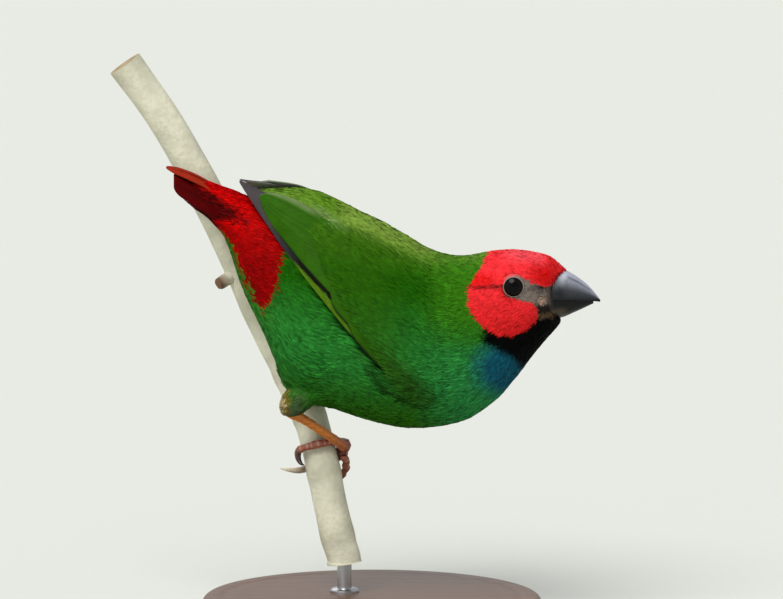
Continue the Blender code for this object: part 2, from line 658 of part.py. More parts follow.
def main():
    for obj in list(bpy.data.objects):
        bpy.data.objects.remove(obj)
    model = bpy.data.collections.new("fiji_parrotfinch")
    cutters = bpy.data.collections.new("cutters")
    bpy.context.scene.collection.children.link(model)
    bpy.context.scene.collection.children.link(cutters)
    room = body_rings(0, len(BODY_CUTS) - 1, 46, grow=GAP + 0.05, pull=-GAP)
    body_cutter = tube_mesh("body_room", room, cutters)
    hide_cutter(body_cutter)
    torso = tube_mesh("torso", body_rings(0, NECK_REAR_CUT, 28, pull=GAP / 2), model)
    finish(torso, "plumage_green", 0.7)
    neck = tube_mesh("neck", body_rings(NECK_REAR_CUT, NECK_FRONT_CUT, 6, pull=GAP / 2), model)
    finish(neck, "plumage_green", 0.7)
    make_head(model, cutters)
    make_wing("wing_right", False, model, body_cutter)
    make_wing("wing_left", True, model, body_cutter)
    make_tail(model, body_cutter)
    make_leg("right", RIGHT_THIGH, RIGHT_SHANK, RIGHT_BALL_HEIGHT, 1, 1.0, model, body_cutter)
    make_leg("left", LEFT_THIGH, LEFT_SHANK, LEFT_BALL_HEIGHT, -0.5, 0.72, model, body_cutter)
    make_perch(model)
    make_stand(model)


main()
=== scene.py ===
import math

import bpy
import numpy as np
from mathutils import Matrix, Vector


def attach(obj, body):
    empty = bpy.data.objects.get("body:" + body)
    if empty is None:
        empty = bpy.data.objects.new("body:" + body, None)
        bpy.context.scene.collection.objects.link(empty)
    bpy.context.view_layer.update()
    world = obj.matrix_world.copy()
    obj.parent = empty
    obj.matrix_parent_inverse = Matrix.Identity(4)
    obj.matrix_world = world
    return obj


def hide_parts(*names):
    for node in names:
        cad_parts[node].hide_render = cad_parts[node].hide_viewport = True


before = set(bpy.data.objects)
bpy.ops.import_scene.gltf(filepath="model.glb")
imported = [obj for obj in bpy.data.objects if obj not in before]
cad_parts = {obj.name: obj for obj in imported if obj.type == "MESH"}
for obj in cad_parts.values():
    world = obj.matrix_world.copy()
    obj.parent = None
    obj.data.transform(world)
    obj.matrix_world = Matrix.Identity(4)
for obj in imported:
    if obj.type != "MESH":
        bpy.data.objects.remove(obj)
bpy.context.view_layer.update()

rng = np.random.default_rng(2743)
MM = 0.001                      # metres in a millimetre

# Driving sizes, the same as the solids'

# Cuts through the body from tail to bill: top x, top z, bottom x, bottom z, half width
BODY_CUTS = [
    (-30.7, 89.7, -33.2, 83.4, 2.7), (-27.9, 88.7, -30.3, 80.1, 3.7),
    (-24.8, 87.5, -28.7, 76.4, 5.0), (-20.1, 87.2, -26.2, 68.9, 7.6),
    (-14.3, 87.0, -22.0, 59.9, 10.2), (-8.2, 85.2, -16.8, 49.2, 12.8),
    (-1.2, 82.4, -7.6, 44.3, 14.6), (6.1, 79.5, 6.1, 40.5, 15.2),
    (12.1, 76.6, 17.6, 41.5, 14.4), (16.0, 75.5, 24.6, 45.5, 12.6),
    (19.3, 75.4, 29.1, 50.3, 10.6), (22.1, 75.9, 32.6, 54.9, 9.3),
    (25.4, 76.5, 35.3, 58.2, 8.8), (29.1, 76.7, 37.1, 60.2, 7.9),
    (33.0, 76.3, 38.3, 61.6, 6.2), (36.6, 75.3, 38.7, 62.4, 4.5),
    (39.6, 72.8, 39.0, 62.9, 3.2)]
# The coat runs two cuts further back than the body, over the roots of the tail feathers
TAIL_COVERT_CUTS = [(-37.2, 91.5, -38.6, 87.6, 1.9), (-34.0, 90.9, -35.8, 85.3, 2.2)]
COAT_CUTS = TAIL_COVERT_CUTS + BODY_CUTS
EXTRA = len(TAIL_COVERT_CUTS)

# The ridge of back and crown: x, and z at each
RIDGE = ([row[0] for row in BODY_CUTS], [row[1] for row in BODY_CUTS])

# The shell that the folded wings lie on
WING_SHELL_CUTS = [
    (-33.0, 94.6, -36.5, 82.0, 1.9), (-29.9, 93.4, -33.6, 78.9, 3.0),
    (-25.8, 92.1, -29.9, 74.3, 4.8), (-21.3, 91.3, -26.6, 68.5, 7.8),
    (-14.8, 90.3, -22.5, 59.0, 11.4), (-8.6, 87.6, -16.8, 47.8, 14.2),
    (-1.6, 84.5, -8.2, 42.8, 16.2), (6.1, 80.8, 6.1, 39.3, 16.9),
    (12.6, 77.8, 18.6, 40.6, 16.0), (17.0, 76.4, 26.0, 44.4, 14.0)]
LEFT_WING_LEAN = 0.42           # how far the left wing's upper edge is turned over the back

EYE_X, EYE_Z = 28.9, 70.3
EYE_RADIUS = 2.7
EYE_OPENING = 1.9               # radius of the ball's part that shows between the lids
EYE_BULGE = 0.25                # how far the lids' plane stands out of the cheek

# Cuts through each half of the bill: x, ridge z, cutting edge z, half width
UPPER_BILL = [
    (35.6, 71.2, 66.9, 4.5), (38.2, 72.6, 66.9, 3.75), (40.0, 72.45, 66.9, 3.35), (42.3, 71.1, 66.8, 2.8),
    (44.4, 69.4, 66.5, 1.9), (45.9, 67.7, 66.3, 0.95), (46.8, 66.5, 66.1, 0.25)]
LOWER_BILL = [
    (34.4, 63.6, 65.9, 5.0), (37.0, 62.9, 66.4, 4.2), (39.0, 62.9, 66.55, 3.5), (41.4, 63.9, 66.45, 2.6),
    (43.6, 64.9, 66.15, 1.6), (45.4, 65.75, 66.0, 0.5)]
NOSTRIL_X, NOSTRIL_Z = 39.9, 70.7

STEM_RADIUS = 3.45
# Middle line of the stem from its cut top to its cut foot: x, y, z
STEM_LINE = [
    (-50.8, 12.0, 113.8), (-42.8, 12.0, 102.4), (-35.5, 12.2, 89.4), (-28.7, 12.8, 75.0),
    (-24.8, 13.2, 66.0), (-20.7, 13.2, 56.9), (-17.8, 12.6, 51.4), (-15.7, 11.6, 46.8),
    (-13.8, 10.2, 42.9), (-12.3, 8.8, 39.3), (-10.8, 6.9, 33.8), (-9.6, 5.9, 28.2),
    (-8.7, 5.2, 23.5), (-7.0, 4.6, 16.1), (-5.9, 4.4, 12.6), (-5.7, 4.4, 11.2)]
STUB_HEIGHT = 70.6              # of the short broken side twig
BASE_RADIUS, BASE_HEIGHT, ROD_RADIUS = 35.0, 5.0, 1.5

# Middle lines of the thighs and the bare legs from top to foot, and radii along them
RIGHT_THIGH = [(-8.6, -5.4, 50.8), (-13.4, -5.0, 48.2), (-18.0, -4.0, 43.9)]
RIGHT_SHANK = [(-16.7, -3.8, 43.7), (-13.4, -1.9, 41.6), (-9.0, 1.2, 38.2), (-5.7, 4.4, 35.4)]
LEFT_THIGH = [(-6.5, 9.6, 60.5), (-10.8, 10.8, 60.8), (-15.0, 11.9, 60.0)]
LEFT_SHANK = [(-14.6, 12.0, 59.4), (-13.6, 11.9, 56.0), (-12.0, 11.6, 51.4), (-10.2, 11.4, 47.3)]
THIGH_RADII = (2.7, 2.7, 2.3)
SHANK_RADII = (1.2, 1.0, 0.92, 0.88, 0.9, 0.95, 1.05)
BALL_REACH = 1.9                # how far the foot's ball stands off the stem's side
BALL_HALVES = (1.35, 1.5, 1.5)
# Each claw's colour at its root and its tip
CLAW_PAINTS = [
    ("#5b3b2c", "#1d1512"), ("#7a5444", "#4a3a30"), ("#9a7f6d", "#c9bfa8"), ("#7a5444", "#4a3a30")]
# Hind, inner, middle and outer toe: start and end turn round the stem, start and end height,
# radius, claw length, the way the claw bends (None: to the stem) and by how much
TOES = [
    (0.05, -2.45, 0.6, 0.9, 0.85, 4.9, (0.1, 0.0, -1.0), 3.0),
    (0.15, 1.9, 0.3, -0.9, 0.72, 2.6, None, 1.0),
    (0.05, 2.65, -0.9, -2.7, 0.78, 6.4, (-1.0, 0.0, 0.3), 1.0),
    (-0.15, 1.3, -1.8, -6.6, 0.72, 2.6, None, 1.0)]
CURLED_CLAW = (2.4, None, 1.1)  # length, bend and turn of each claw of the foot that grips

# Curves and shells


def clip01(values):
    return np.clip(values, 0, 1)


def grid_of(rows, columns):
    """Two grids: the rows' values down, and the columns' values across."""
    return np.meshgrid(rows, columns, indexing="ij")


def round_turn(count):
    """Angles spread evenly over a full turn."""
    return np.linspace(0, 2 * math.pi, count, endpoint=False)


def smooth_rows(table, places):
    """Cubic Hermite curve through the table's rows, with slopes from the rows beside each, and
    straight on past both ends."""
    rows = np.asarray(table, dtype=float)
    slopes = np.gradient(rows, axis=0)
    asked = np.asarray(places, dtype=float)
    places = np.clip(asked, 0, len(rows) - 1)
    start = np.minimum(places.astype(int), len(rows) - 2)
    t = (places - start)[..., None]
    curve = ((2 * t ** 3 - 3 * t ** 2 + 1) * rows[start] + (t ** 3 - 2 * t ** 2 + t) * slopes[start]
             + (3 * t ** 2 - 2 * t ** 3) * rows[start + 1] + (t ** 3 - t ** 2) * slopes[start + 1])
    return curve + (asked - places)[..., None] * slopes[np.where(asked < 0, 0, len(rows) - 1)]


def smooth_line(points, steps):
    """Steps along the smooth curve through some points."""
    return smooth_rows(points, np.linspace(0, len(points) - 1, steps))


def unit(vectors):
    return vectors / np.linalg.norm(vectors, axis=-1, keepdims=True)


def shell_point(table, place, angle, grow=0.0):
    """Middle of a cut plus the cosine of the angle times its half height and the sine times its half
    width, both grown by the same length."""
    cut = smooth_rows(table, place)
    top = np.stack([cut[..., 0], 0 * cut[..., 0], cut[..., 1]], axis=-1)
    bottom = np.stack([cut[..., 2], 0 * cut[..., 0], cut[..., 3]], axis=-1)
    half = np.linalg.norm(top - bottom, axis=-1)[..., None] / 2
    upward = (top - bottom) / (2 * half)
    grow = np.broadcast_to(grow, cut.shape[:-1])[..., None]
    turn = np.asarray(angle)[..., None]
    width = cut[..., 4:5] + grow
    return (top + bottom) / 2 + (half + grow) * np.cos(turn) * upward - width * np.sin(turn) * [0, 1, 0]


def surface_frame(surface, place, angle, lie):
    """Point, outward normal, and how far the surface runs for each unit of place and angle,
    all from small steps both ways. The lie is the sign of the feathers' heading in place."""
    step = 0.01
    point = surface(place, angle)
    along = (surface(place + step, angle) - surface(place - step, angle)) / (2 * step)
    across = (surface(place, angle + step) - surface(place, angle - step)) / (2 * step)
    run, girth = (np.linalg.norm(way, axis=-1) for way in (along, across))
    return point, unit(lie * np.cross(along, across)), run, girth


def body_surface(place, angle):
    """The coat's shell, with places counted from the first body cut, so that those over the tail
    are under 0."""
    return shell_point(COAT_CUTS, place + EXTRA, angle)


def lean_over(angle, lean):
    """Turns the upper part of a folded wing towards the back's ridge by the lean."""
    return np.sign(angle) * (np.abs(angle) - lean * clip01((1.75 - np.abs(angle)) / 0.95))


def wing_surface(lean):
    """The wing shell. Angles over 0 are on the right side, under 0 on the left."""
    return lambda place, angle: shell_point(WING_SHELL_CUTS, place, lean_over(angle, lean))


def shell_place(table, x, z):
    """Place and angle on the shell's right side of points given in side view."""
    places = np.linspace(0, len(table) - 1, 600)
    cut = smooth_rows(table, places)
    x, z = np.asarray(x, dtype=float)[..., None], np.asarray(z, dtype=float)[..., None]
    run_x, run_z = cut[:, 2] - cut[:, 0], cut[:, 3] - cut[:, 1]
    off = np.abs(run_x * (z - cut[:, 1]) - run_z * (x - cut[:, 0])) / np.hypot(run_x, run_z)
    best = np.argmin(off, axis=-1)
    share = (x[..., 0] - cut[best, 0]) * run_x[best] + (z[..., 0] - cut[best, 1]) * run_z[best]
    share /= run_x[best] ** 2 + run_z[best] ** 2
    return places[best], np.arccos(np.clip(1 - 2 * share, -1, 1))


def tube_grid(line, radii, reference, around):
    """Rings square to a line: each point is the line plus its radius times the cosine of the
    turn along the side direction and the sine along the direction of the reference."""
    line = np.asarray(line, dtype=float)
    along = unit(np.gradient(line, axis=0))
    side = unit(np.cross(along, np.broadcast_to(reference, line.shape)))
    up = np.cross(side, along)
    turn = round_turn(around)[:, None]
    radii = np.asarray(radii, dtype=float)
    radii = radii[:, None] if radii.ndim == 1 else radii
    ring = np.cos(turn) * side[:, None] + np.sin(turn) * up[:, None]
    return line[:, None] + np.broadcast_to(radii, (len(line), around))[..., None] * ring


# Meshes


def grid_faces(rows, columns, closed=False, flip=False, count=1):
    """Quads over grids of points, row by row, with the columns joined up where closed."""
    i, j = grid_of(np.arange(rows - 1), np.arange(columns if closed else columns - 1))
    near, far = i * columns + j, i * columns + (j + 1) % columns
    quads = np.stack([near, near + columns, far + columns, far], axis=-1).reshape(-1, 4)
    if flip:
        quads = quads[:, ::-1]
    return (quads[None] + (np.arange(count) * rows * columns)[:, None, None]).reshape(-1, 4)


def closed_tube(rings, flip=False):
    """Points and faces of a closed skin over rings, with a pole at the middle of each end."""
    rows, around, _ = rings.shape
    points = np.concatenate([rings.reshape(-1, 3), rings[:1].mean(axis=1), rings[-1:].mean(axis=1)])
    j = np.arange(around)
    after = (j + 1) % around
    start = np.stack([np.full(around, rows * around), j, after], axis=-1)
    last = (rows - 1) * around
    end = np.stack([np.full(around, rows * around + 1), last + after, last + j], axis=-1)
    caps = np.concatenate([start, end])
    return points, [grid_faces(rows, around, True, flip), caps[:, ::-1] if flip else caps]


def tube_tint(colours):
    """Colours of a closed tube's rings as one list, with those of its two poles at the end."""
    return np.concatenate([colours.reshape(-1, 3), colours[0, :1], colours[-1, :1]])


def closed_plate(upper, lower, flip=False):
    """Points and faces of a thin closed plate between two grids."""
    rows, columns, _ = upper.shape
    shift = rows * columns
    top = grid_faces(rows, columns, flip=flip)
    rim = np.concatenate([np.arange(columns), np.arange(1, rows) * columns + columns - 1,
                          (rows - 1) * columns + np.arange(columns - 2, -1, -1),
                          np.arange(rows - 2, 0, -1) * columns])
    after = np.roll(rim, -1)
    wall = np.stack([rim, after, after + shift, rim + shift], axis=-1)
    faces = [top, top[:, ::-1] + shift, wall[:, ::-1] if flip else wall]
    return np.concatenate([upper.reshape(-1, 3), lower.reshape(-1, 3)]), faces


def add_piece(name, parts, material, nodes, tints=None, maps=None, sharp=None):
    """One mesh from several (points, faces) parts, with a colour for each point and UV maps."""
    points = np.concatenate([part[0] for part in parts])
    shifts = np.cumsum([0] + [len(part[0]) for part in parts])
    faces = [face + shift for part, shift in zip(parts, shifts) for face in part[1]]
    corners = np.concatenate([face.ravel() for face in faces])
    sizes = np.concatenate([np.full(len(face), face.shape[1]) for face in faces])
    mesh = bpy.data.meshes.new(name)
    mesh.vertices.add(len(points))
    mesh.vertices.foreach_set("co", (points * MM).astype(np.float32).ravel())
    mesh.loops.add(len(corners))
    mesh.loops.foreach_set("vertex_index", corners.astype(np.int32))
    mesh.polygons.add(len(sizes))
    mesh.polygons.foreach_set("loop_start", (np.cumsum(sizes) - sizes).astype(np.int32))
    mesh.update(calc_edges=True)
    mesh.shade_smooth()
    if sharp:
        mesh.set_sharp_from_angle(angle=math.radians(sharp))
    if tints is not None:
        rgba = np.concatenate([np.concatenate(tints), np.ones((len(points), 1))], axis=1)
        layer = mesh.attributes.new("tint", "FLOAT_COLOR", "POINT")
        layer.data.foreach_set("color", rgba.astype(np.float32).ravel())
    for map_name, places in (maps or {}).items():
        layer = mesh.uv_layers.new(name=map_name)
        layer.data.foreach_set("uv", np.concatenate(places)[corners].astype(np.float32).ravel())
    mesh.materials.append(material)
    obj = bpy.data.objects.new(name, mesh)
    bpy.context.scene.collection.objects.link(obj)
    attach(obj, "root")
    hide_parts(*nodes)
    return obj


# Colours


def linear(value):
    """Linear colour from an sRGB hex value."""
    parts = np.array([int(value[i:i + 2], 16) for i in (1, 3, 5)]) / 255
    return np.where(parts <= 0.04045, parts / 12.92, ((parts + 0.055) / 1.055) ** 2.4)


# Colours of plumage and parts; some are painted light and shade: highlights on the crown and along the back,
# shade in the wing's crease, in the gaps between flight feathers and on the tail's side
PAINT = {name: linear(value) for name, value in {
    "crown": "#ea3036", "cheek": "#cb1c1c", "brow": "#cc0c09", "mantle": "#4f7a16", "nape": "#4f7d1c",
    "side": "#154f00", "flank": "#257228", "belly": "#285f0c", "breast": "#2a8240", "throat": "#125466",
    "chin": "#030403", "lore": "#776c63", "lore_dark": "#26201d", "gape": "#b3907c",
    "gap_shade_black": "#0f110a", "eye_line": "#1d0a08", "rump": "#a80000", "rump_low": "#800000",
    "thigh": "#46553a", "down": "#a89c78", "thigh_tan": "#84602c", "slate": "#302e32",
    "under": "#bcbbb6", "tip": "#3f3a3b", "edge_yellow": "#486a10", "wing": "#275204",
    "bill_tan": "#5e4c32", "grey_edge": "#5f7444", "tail": "#8c1310", "tail_top": "#8a2410",
    "tail_side_painted_shade": "#470000", "vent": "#3c7a1e", "crease": "#0b2005", "wing_shade": "#263604",
    "back_painted_rim_light": "#7f9a40", "neck": "#316c0d", "crown_painted_highlight": "#fa626e", "scapular": "#7f8c62"}.items()}

# Markings and painted shade as outlines in side view: x, z

# The red mask round the eye, the black chin, and the grey lore between eye and bill
RED_MASK = [
    (24.2, 79.0), (24.1, 76.2), (23.2, 73.8), (21.3, 71.2), (20.0, 68.2), (20.2, 65.2), (21.2, 62.9),
    (23.6, 60.6), (26.0, 59.4), (29.3, 59.3), (31.9, 60.5), (33.7, 62.2), (34.2, 63.5), (33.9, 65.2),
    (33.0, 66.2), (30.7, 66.4), (28.9, 66.8), (27.5, 67.3), (26.9, 68.9), (27.5, 70.2), (28.9, 70.8),
    (30.7, 70.6), (32.4, 69.8), (33.9, 69.4), (35.6, 68.8), (36.9, 69.0), (37.7, 69.6), (38.5, 70.8),
    (42.0, 71.4), (42.0, 79.0)]
BLACK_CHIN = [
    (42.0, 64.8), (38.6, 64.1), (36.1, 63.5), (34.4, 63.0), (33.4, 63.2), (31.5, 62.2), (29.5, 61.4),
    (25.8, 61.4), (23.4, 61.4), (22.9, 58.3), (26.3, 56.4), (29.1, 54.7), (31.6, 52.2), (38.7, 57.2),
    (42.0, 62.3)]
GREY_LORE = [
    (27.4, 71.0), (29.5, 71.5), (30.7, 71.2), (32.4, 70.2), (33.9, 69.8), (35.6, 69.2), (36.9, 69.4),
    (37.7, 70.1), (38.5, 71.3), (42.0, 72.0), (42.0, 63.9), (38.6, 63.6), (36.1, 63.0), (34.3, 62.6),
    (34.1, 64.4), (33.0, 66.2), (30.7, 66.4), (28.9, 66.8), (27.4, 67.3)]
# Tan feathers at the lower bill's root
BILL_TAN = [(34.6, 62.6), (36.2, 63.1), (39.0, 64.0), (39.0, 65.0), (36.6, 64.2), (34.6, 63.7)]
# The red rump with the tail's coverts, and painted shade on the folded tail's side
RED_RUMP = [
    (-48.0, 100.0), (-25.0, 100.0), (-19.5, 91.0), (-18.4, 80.3), (-17.3, 75.8), (-18.4, 69.6),
    (-20.0, 65.6), (-21.6, 63.6), (-23.4, 66.8), (-25.2, 70.2), (-26.4, 72.9), (-27.0, 75.1),
    (-27.9, 78.0), (-31.0, 80.7), (-34.2, 83.8), (-44.0, 91.0)]
TAIL_SHADE = [
    (-44.0, 90.0), (-40.4, 91.7), (-36.5, 91.1), (-33.2, 89.3), (-28.3, 85.7), (-25.4, 82.8),
    (-25.4, 82.3), (-28.3, 83.0), (-30.8, 82.6), (-31.4, 80.5), (-44.0, 82.0)]
# The dark line behind the eye
EYE_STREAK = [(20.0, 69.5), (27.2, 69.6), (27.2, 68.9), (20.0, 69.1)]
# Painted shade in the crease where the folded wing's front edge meets the breast
WING_CREASE_SHADE = [
    (0.2, 52.9), (2.1, 50.5), (4.1, 48.2), (7.3, 46.2), (10.0, 45.4), (13.0, 45.2), (13.0, 44.2),
    (9.9, 44.3), (6.6, 45.0), (3.3, 46.9), (1.1, 49.5), (-0.8, 52.3)]
# The pale grey edge of the shoulder's feathers
SCAPULAR_EDGE = [
    (-11.5, 85.3), (-8.6, 83.9), (-5.4, 81.7), (-4.7, 80.2), (-7.2, 80.9), (-10.0, 82.7), (-12.0, 84.2)]
# The soft shade along the crease
WING_SHADE = [
    (-2.0, 58.0), (3.0, 56.5), (8.5, 51.5), (13.0, 46.0), (13.0, 44.6), (7.0, 46.0), (2.6, 51.0),
    (-3.0, 56.5)]
THROAT_MIDDLE, THROAT_REACH = (29.0, 53.0), (8.5, 7.0)
VIEW_TILT = 0.1405              # the outlines are seen from 8 degrees above: the tangent of that


def side_view(points):
    """x and z of points as the tilted side view shows them, alike on both sides."""
    return points[..., 0], points[..., 2] - VIEW_TILT * np.abs(points[..., 1])


def inside(outline, x, z, soft):
    """1 well inside an outline, 0 well outside: the signed distance to its nearest edge over
    the softness, where the sign comes from the count of edges crossed to the right."""
    start = np.asarray(outline, dtype=float)
    end = np.roll(start, -1, axis=0)
    x, z = x[..., None], z[..., None]
    run = end - start
    share = ((x - start[:, 0]) * run[:, 0] + (z - start[:, 1]) * run[:, 1]) / (run ** 2).sum(axis=1)
    share = clip01(share)
    off_x, off_z = x - start[:, 0] - share * run[:, 0], z - start[:, 1] - share * run[:, 1]
    distance = np.hypot(off_x, off_z).min(axis=-1)
    rises = (start[:, 1] > z) != (end[:, 1] > z)
    slope = run[:, 0] / np.where(run[:, 1] == 0, 1e-9, run[:, 1])
    crossed = (rises & (x < start[:, 0] + (z - start[:, 1]) * slope)).sum(axis=-1)
    return clip01(0.5 + np.where(crossed % 2 == 1, distance, -distance) / (2 * soft))


def within(outline, points):
    """Which points lie in an outline, as seen straight from the side."""
    return inside(outline, points[:, 0], points[:, 2], 0.01) > 0.5


def blend(base, paint, share):
    """The base colour with a paint over it by its share."""
    return base + (PAINT[paint] - base) * clip01(share)[..., None]


def blend_all(colour, layers):
    """The colour with each layer's paint over it by its share, in turn."""
    for paint, share in layers:
        colour = blend(colour, paint, share)
    return colour


def plumage(points, soft=0.35, rump_share=1.0):
    """Colour of the coat at points on it: greens that change round the body, a painted highlight along the
    ridge, painted shade under the wing and in its crease, a blue throat, and outlined markings in red, black
    and grey, whose edges are as soft as asked, the red one with painted light and shade. The share says how
    much red the rump and tail's root get, and how much painted shade the tail's side gets."""
    x, z = side_view(points)
    # How far up the body, from 0 along the belly to 1 along the back, and how far under the ridge
    lift = (points[..., 2] - 40 - 0.15 * (20 - points[..., 0])) / 42
    below = np.interp(x, *RIDGE) - points[..., 2]
    # Painted rim highlight: a lighter green band just under the ridge of the back and nape, where back light
    # falls
    rim = np.interp(x, [-15, -11, -8, -4, 10, 16], [0.25, 0.12, 0, 0.65, 0.65, 0.15])
    reach = np.hypot((x - THROAT_MIDDLE[0]) / THROAT_REACH[0], (z - THROAT_MIDDLE[1]) / THROAT_REACH[1])
    colour = blend_all(PAINT["belly"] + 0 * points, [
        ("flank", (lift - 0.02) / 0.22),
        ("side", (lift - 0.35) / 0.3),
        ("mantle", (lift - 0.73) / 0.2),
        ("nape", (x - 6) / 14 * clip01((lift - 0.7) / 0.15) * 0.6),
        ("back_painted_rim_light", rim * clip01(1.3 - below / 2.4)),
        ("neck", 0.9 * clip01((x - 8) / 9) * clip01((z - 56) / 8) * clip01((76 - z) / 3)),
        ("scapular", 0.4 * inside(SCAPULAR_EDGE, x, z, 0.7)),
        ("breast", (x - 9) / 12 * clip01((0.5 - lift) / 0.25)),
        ("throat", (1.12 - reach) / 0.55),
        ("wing_shade", 0.6 * inside(WING_SHADE, x, z, 1.6)),
        # Painted shade in the wing's crease
        ("crease", 0.7 * inside(WING_CREASE_SHADE, x, z, 0.4)),
        ("vent", clip01((-18 - x) / 8) * clip01((82 - z) / 8) * 0.6),
        ("chin", inside(BLACK_CHIN, x, z, np.where(z < 60, 0.8, 0.4)))])
    # The mask: one red with painted light and shade, lighter to the crown as if lit from above, darker near
    # the bill and over the eye's streak as painted shade, and a painted highlight on the forehead's ridge
    near_bill = 1 - np.hypot(x - 35.5, z - 71.5) / 4.5
    over_streak = 0.8 * clip01((27 - x) / 3) * clip01(1.3 - np.abs(z - 70.6) / 1.6)
    red = blend_all(PAINT["cheek"] + 0 * points, [
        ("crown", (z - 59) / 14),
        ("brow", np.maximum(near_bill, over_streak)),
        ("crown_painted_highlight", clip01(1.3 - below / 1.8) * np.interp(x, [26, 30, 34.5, 36.5], [0, 0.55, 0.55, 0]))])
    colour = colour + (red - colour) * inside(RED_MASK, x, z, soft)[..., None]
    lore = inside(GREY_LORE, x, z, soft)
    shade = np.maximum(0.75 * (1.5 - np.hypot((x - 34.9) / 1.7, (z - 69.2) / 0.8)), (x - 35.9) / 0.9)
    streak = clip01(np.sin(6.5 * x - 1.2 * z + 2 * np.sin(1.7 * z)))
    rump = rump_share * inside(RED_RUMP, x, z, soft)
    return blend_all(colour, [
        ("lore", lore),
        ("lore_dark", lore * clip01(np.maximum(shade, 0.8 * (65.9 - z) / 0.5))),
        ("lore_dark", 0.35 * lore * streak),
        ("bill_tan", inside(BILL_TAN, x, z, 0.25)),
        ("gape", 1.6 - np.hypot(x - 34.9, z - 66.3) / 0.6),
        ("eye_line", 0.9 * inside(EYE_STREAK, x, z, 0.35)),
        ("rump", rump),
        ("rump_low", rump * clip01((84 - z) / 10)),
        # Painted shade on the folded tail's side
        ("tail_side_painted_shade", rump_share * inside(TAIL_SHADE, x, z, 0.3))])


# Materials

MULTIPLY = {"data_type": "RGBA", "blend_type": "MULTIPLY"}


def wire(tree, node, inputs):
    """Links a node's inputs to other nodes' outputs, or sets them to values."""
    for key, value in inputs.items():
        if isinstance(value, bpy.types.NodeSocket):
            tree.links.new(value, node.inputs[key])
        else:
            node.inputs[key].default_value = value


def add(tree, kind, output, inputs, **settings):
    """Adds a node with its settings and inputs, and returns the output asked for."""
    node = tree.nodes.new(kind)
    for key, value in settings.items():
        setattr(node, key, value)
    wire(tree, node, inputs)
    return node.outputs[output]


def new_material(name):
    """Material with one Principled shader: returns it, its tree and its shader."""
    material = bpy.data.materials.new(name)
    material.use_nodes = True
    return material, material.node_tree, material.node_tree.nodes["Principled BSDF"]


def rgba(value):
    return (*linear(value), 1.0)


def mottled(tree, colour, size_mm, low, high, detail=3.0):
    """The colour times a noise between low and high, at a size in real millimetres, and the noise."""
    place = add(tree, "ShaderNodeTexCoord", "Object", {})
    scale = 1 / (size_mm * MM)
    noise = add(tree, "ShaderNodeTexNoise", "Fac", {"Vector": place, "Scale": scale, "Detail": detail})
    tone = add(tree, "ShaderNodeMapRange", "Result", {"Value": noise, "From Min": 0.25, "From Max": 0.75,
                                                      "To Min": low, "To Max": high})
    return add(tree, "ShaderNodeMix", "Result", {"Factor": 1.0, "A": colour, "B": tone}, **MULTIPLY), noise


def flight_feather():
    """Flight feather vane: barbs 0.35 mm apart slant off the shaft as bands and bump, with lighter
    and darker streaks along them."""
    material, tree, shader = new_material("flight_feather_vane")
    place = add(tree, "ShaderNodeUVMap", "UV", {}, uv_map="barbs")
    barb = add(tree, "ShaderNodeTexWave", "Fac", {"Vector": place, "Scale": 1.0, "Distortion": 0.6,
                                                  "Detail": 1.0, "Detail Scale": 2.0}, bands_direction="Y")
    drawn = add(tree, "ShaderNodeVectorMath", "Vector", {0: place, 1: (1.2, 3.2, 1.0)}, operation="MULTIPLY")
    streak = add(tree, "ShaderNodeTexNoise", "Fac", {"Vector": drawn, "Scale": 1.0, "Detail": 2.0})
    both = add(tree, "ShaderNodeMath", "Value", {0: barb, 1: streak}, operation="ADD")
    tone = add(tree, "ShaderNodeMapRange", "Result", {"Value": both, "From Min": 0.3, "From Max": 1.7,
                                                      "To Min": 0.6, "To Max": 1.42})
    tint = add(tree, "ShaderNodeAttribute", "Color", {}, attribute_name="tint")
    toned = add(tree, "ShaderNodeMix", "Result", {"Factor": 1.0, "A": tint, "B": tone}, **MULTIPLY)
    colour, _ = mottled(tree, toned, 2.5, 0.85, 1.12)
    bump = add(tree, "ShaderNodeBump", "Normal", {"Height": barb, "Strength": 0.35, "Distance": 0.00006})
    wire(tree, shader, {"Base Color": colour, "Normal": bump, "Roughness": 0.55, "Specular IOR Level": 0.04})
    return material


def tinted(name, roughness, size_mm, low, high, bump_mm=0.0, coat=0.0, specular=0.4):
    """A finish whose colour is the piece's own tint, mottled, with a fine bump of the same noise."""
    material, tree, shader = new_material(name)
    tint = add(tree, "ShaderNodeAttribute", "Color", {}, attribute_name="tint")
    colour, height = mottled(tree, tint, size_mm, low, high)
    wire(tree, shader, {"Base Color": colour, "Roughness": roughness, "Coat Weight": coat,
                        "Coat Roughness": 0.15, "Specular IOR Level": specular})
    if bump_mm:
        bump = {"Height": height, "Strength": 0.6, "Distance": bump_mm * MM}
        wire(tree, shader, {"Normal": add(tree, "ShaderNodeBump", "Normal", bump)})
    return material


def eyeball():
    """Wet eye: near-black iris round a black pupil under a clear cornea, whose index is 1.376."""
    material, tree, shader = new_material("dark_iris_under_cornea")
    place = add(tree, "ShaderNodeTexCoord", "Object", {})
    flat = add(tree, "ShaderNodeVectorMath", "Vector", {0: place, 1: (1.0, 0.0, 1.0)}, operation="MULTIPLY")
    centre = (EYE_X * MM, 0.0, EYE_Z * MM)
    away = add(tree, "ShaderNodeVectorMath", "Value", {0: flat, 1: centre}, operation="DISTANCE")
    share = add(tree, "ShaderNodeMapRange", "Result", {"Value": away, "From Min": 0.001, "From Max": 0.0013})
    colour = add(tree, "ShaderNodeMix", "Result", {"Factor": share, "A": rgba("#030303"),
                                                   "B": rgba("#0d0806")}, data_type="RGBA")
    wire(tree, shader, {"Base Color": colour, "Roughness": 0.3, "Coat Weight": 0.3, "Coat Roughness": 0.03,
                        "Coat IOR": 1.376, "Specular IOR Level": 0.0})
    return material


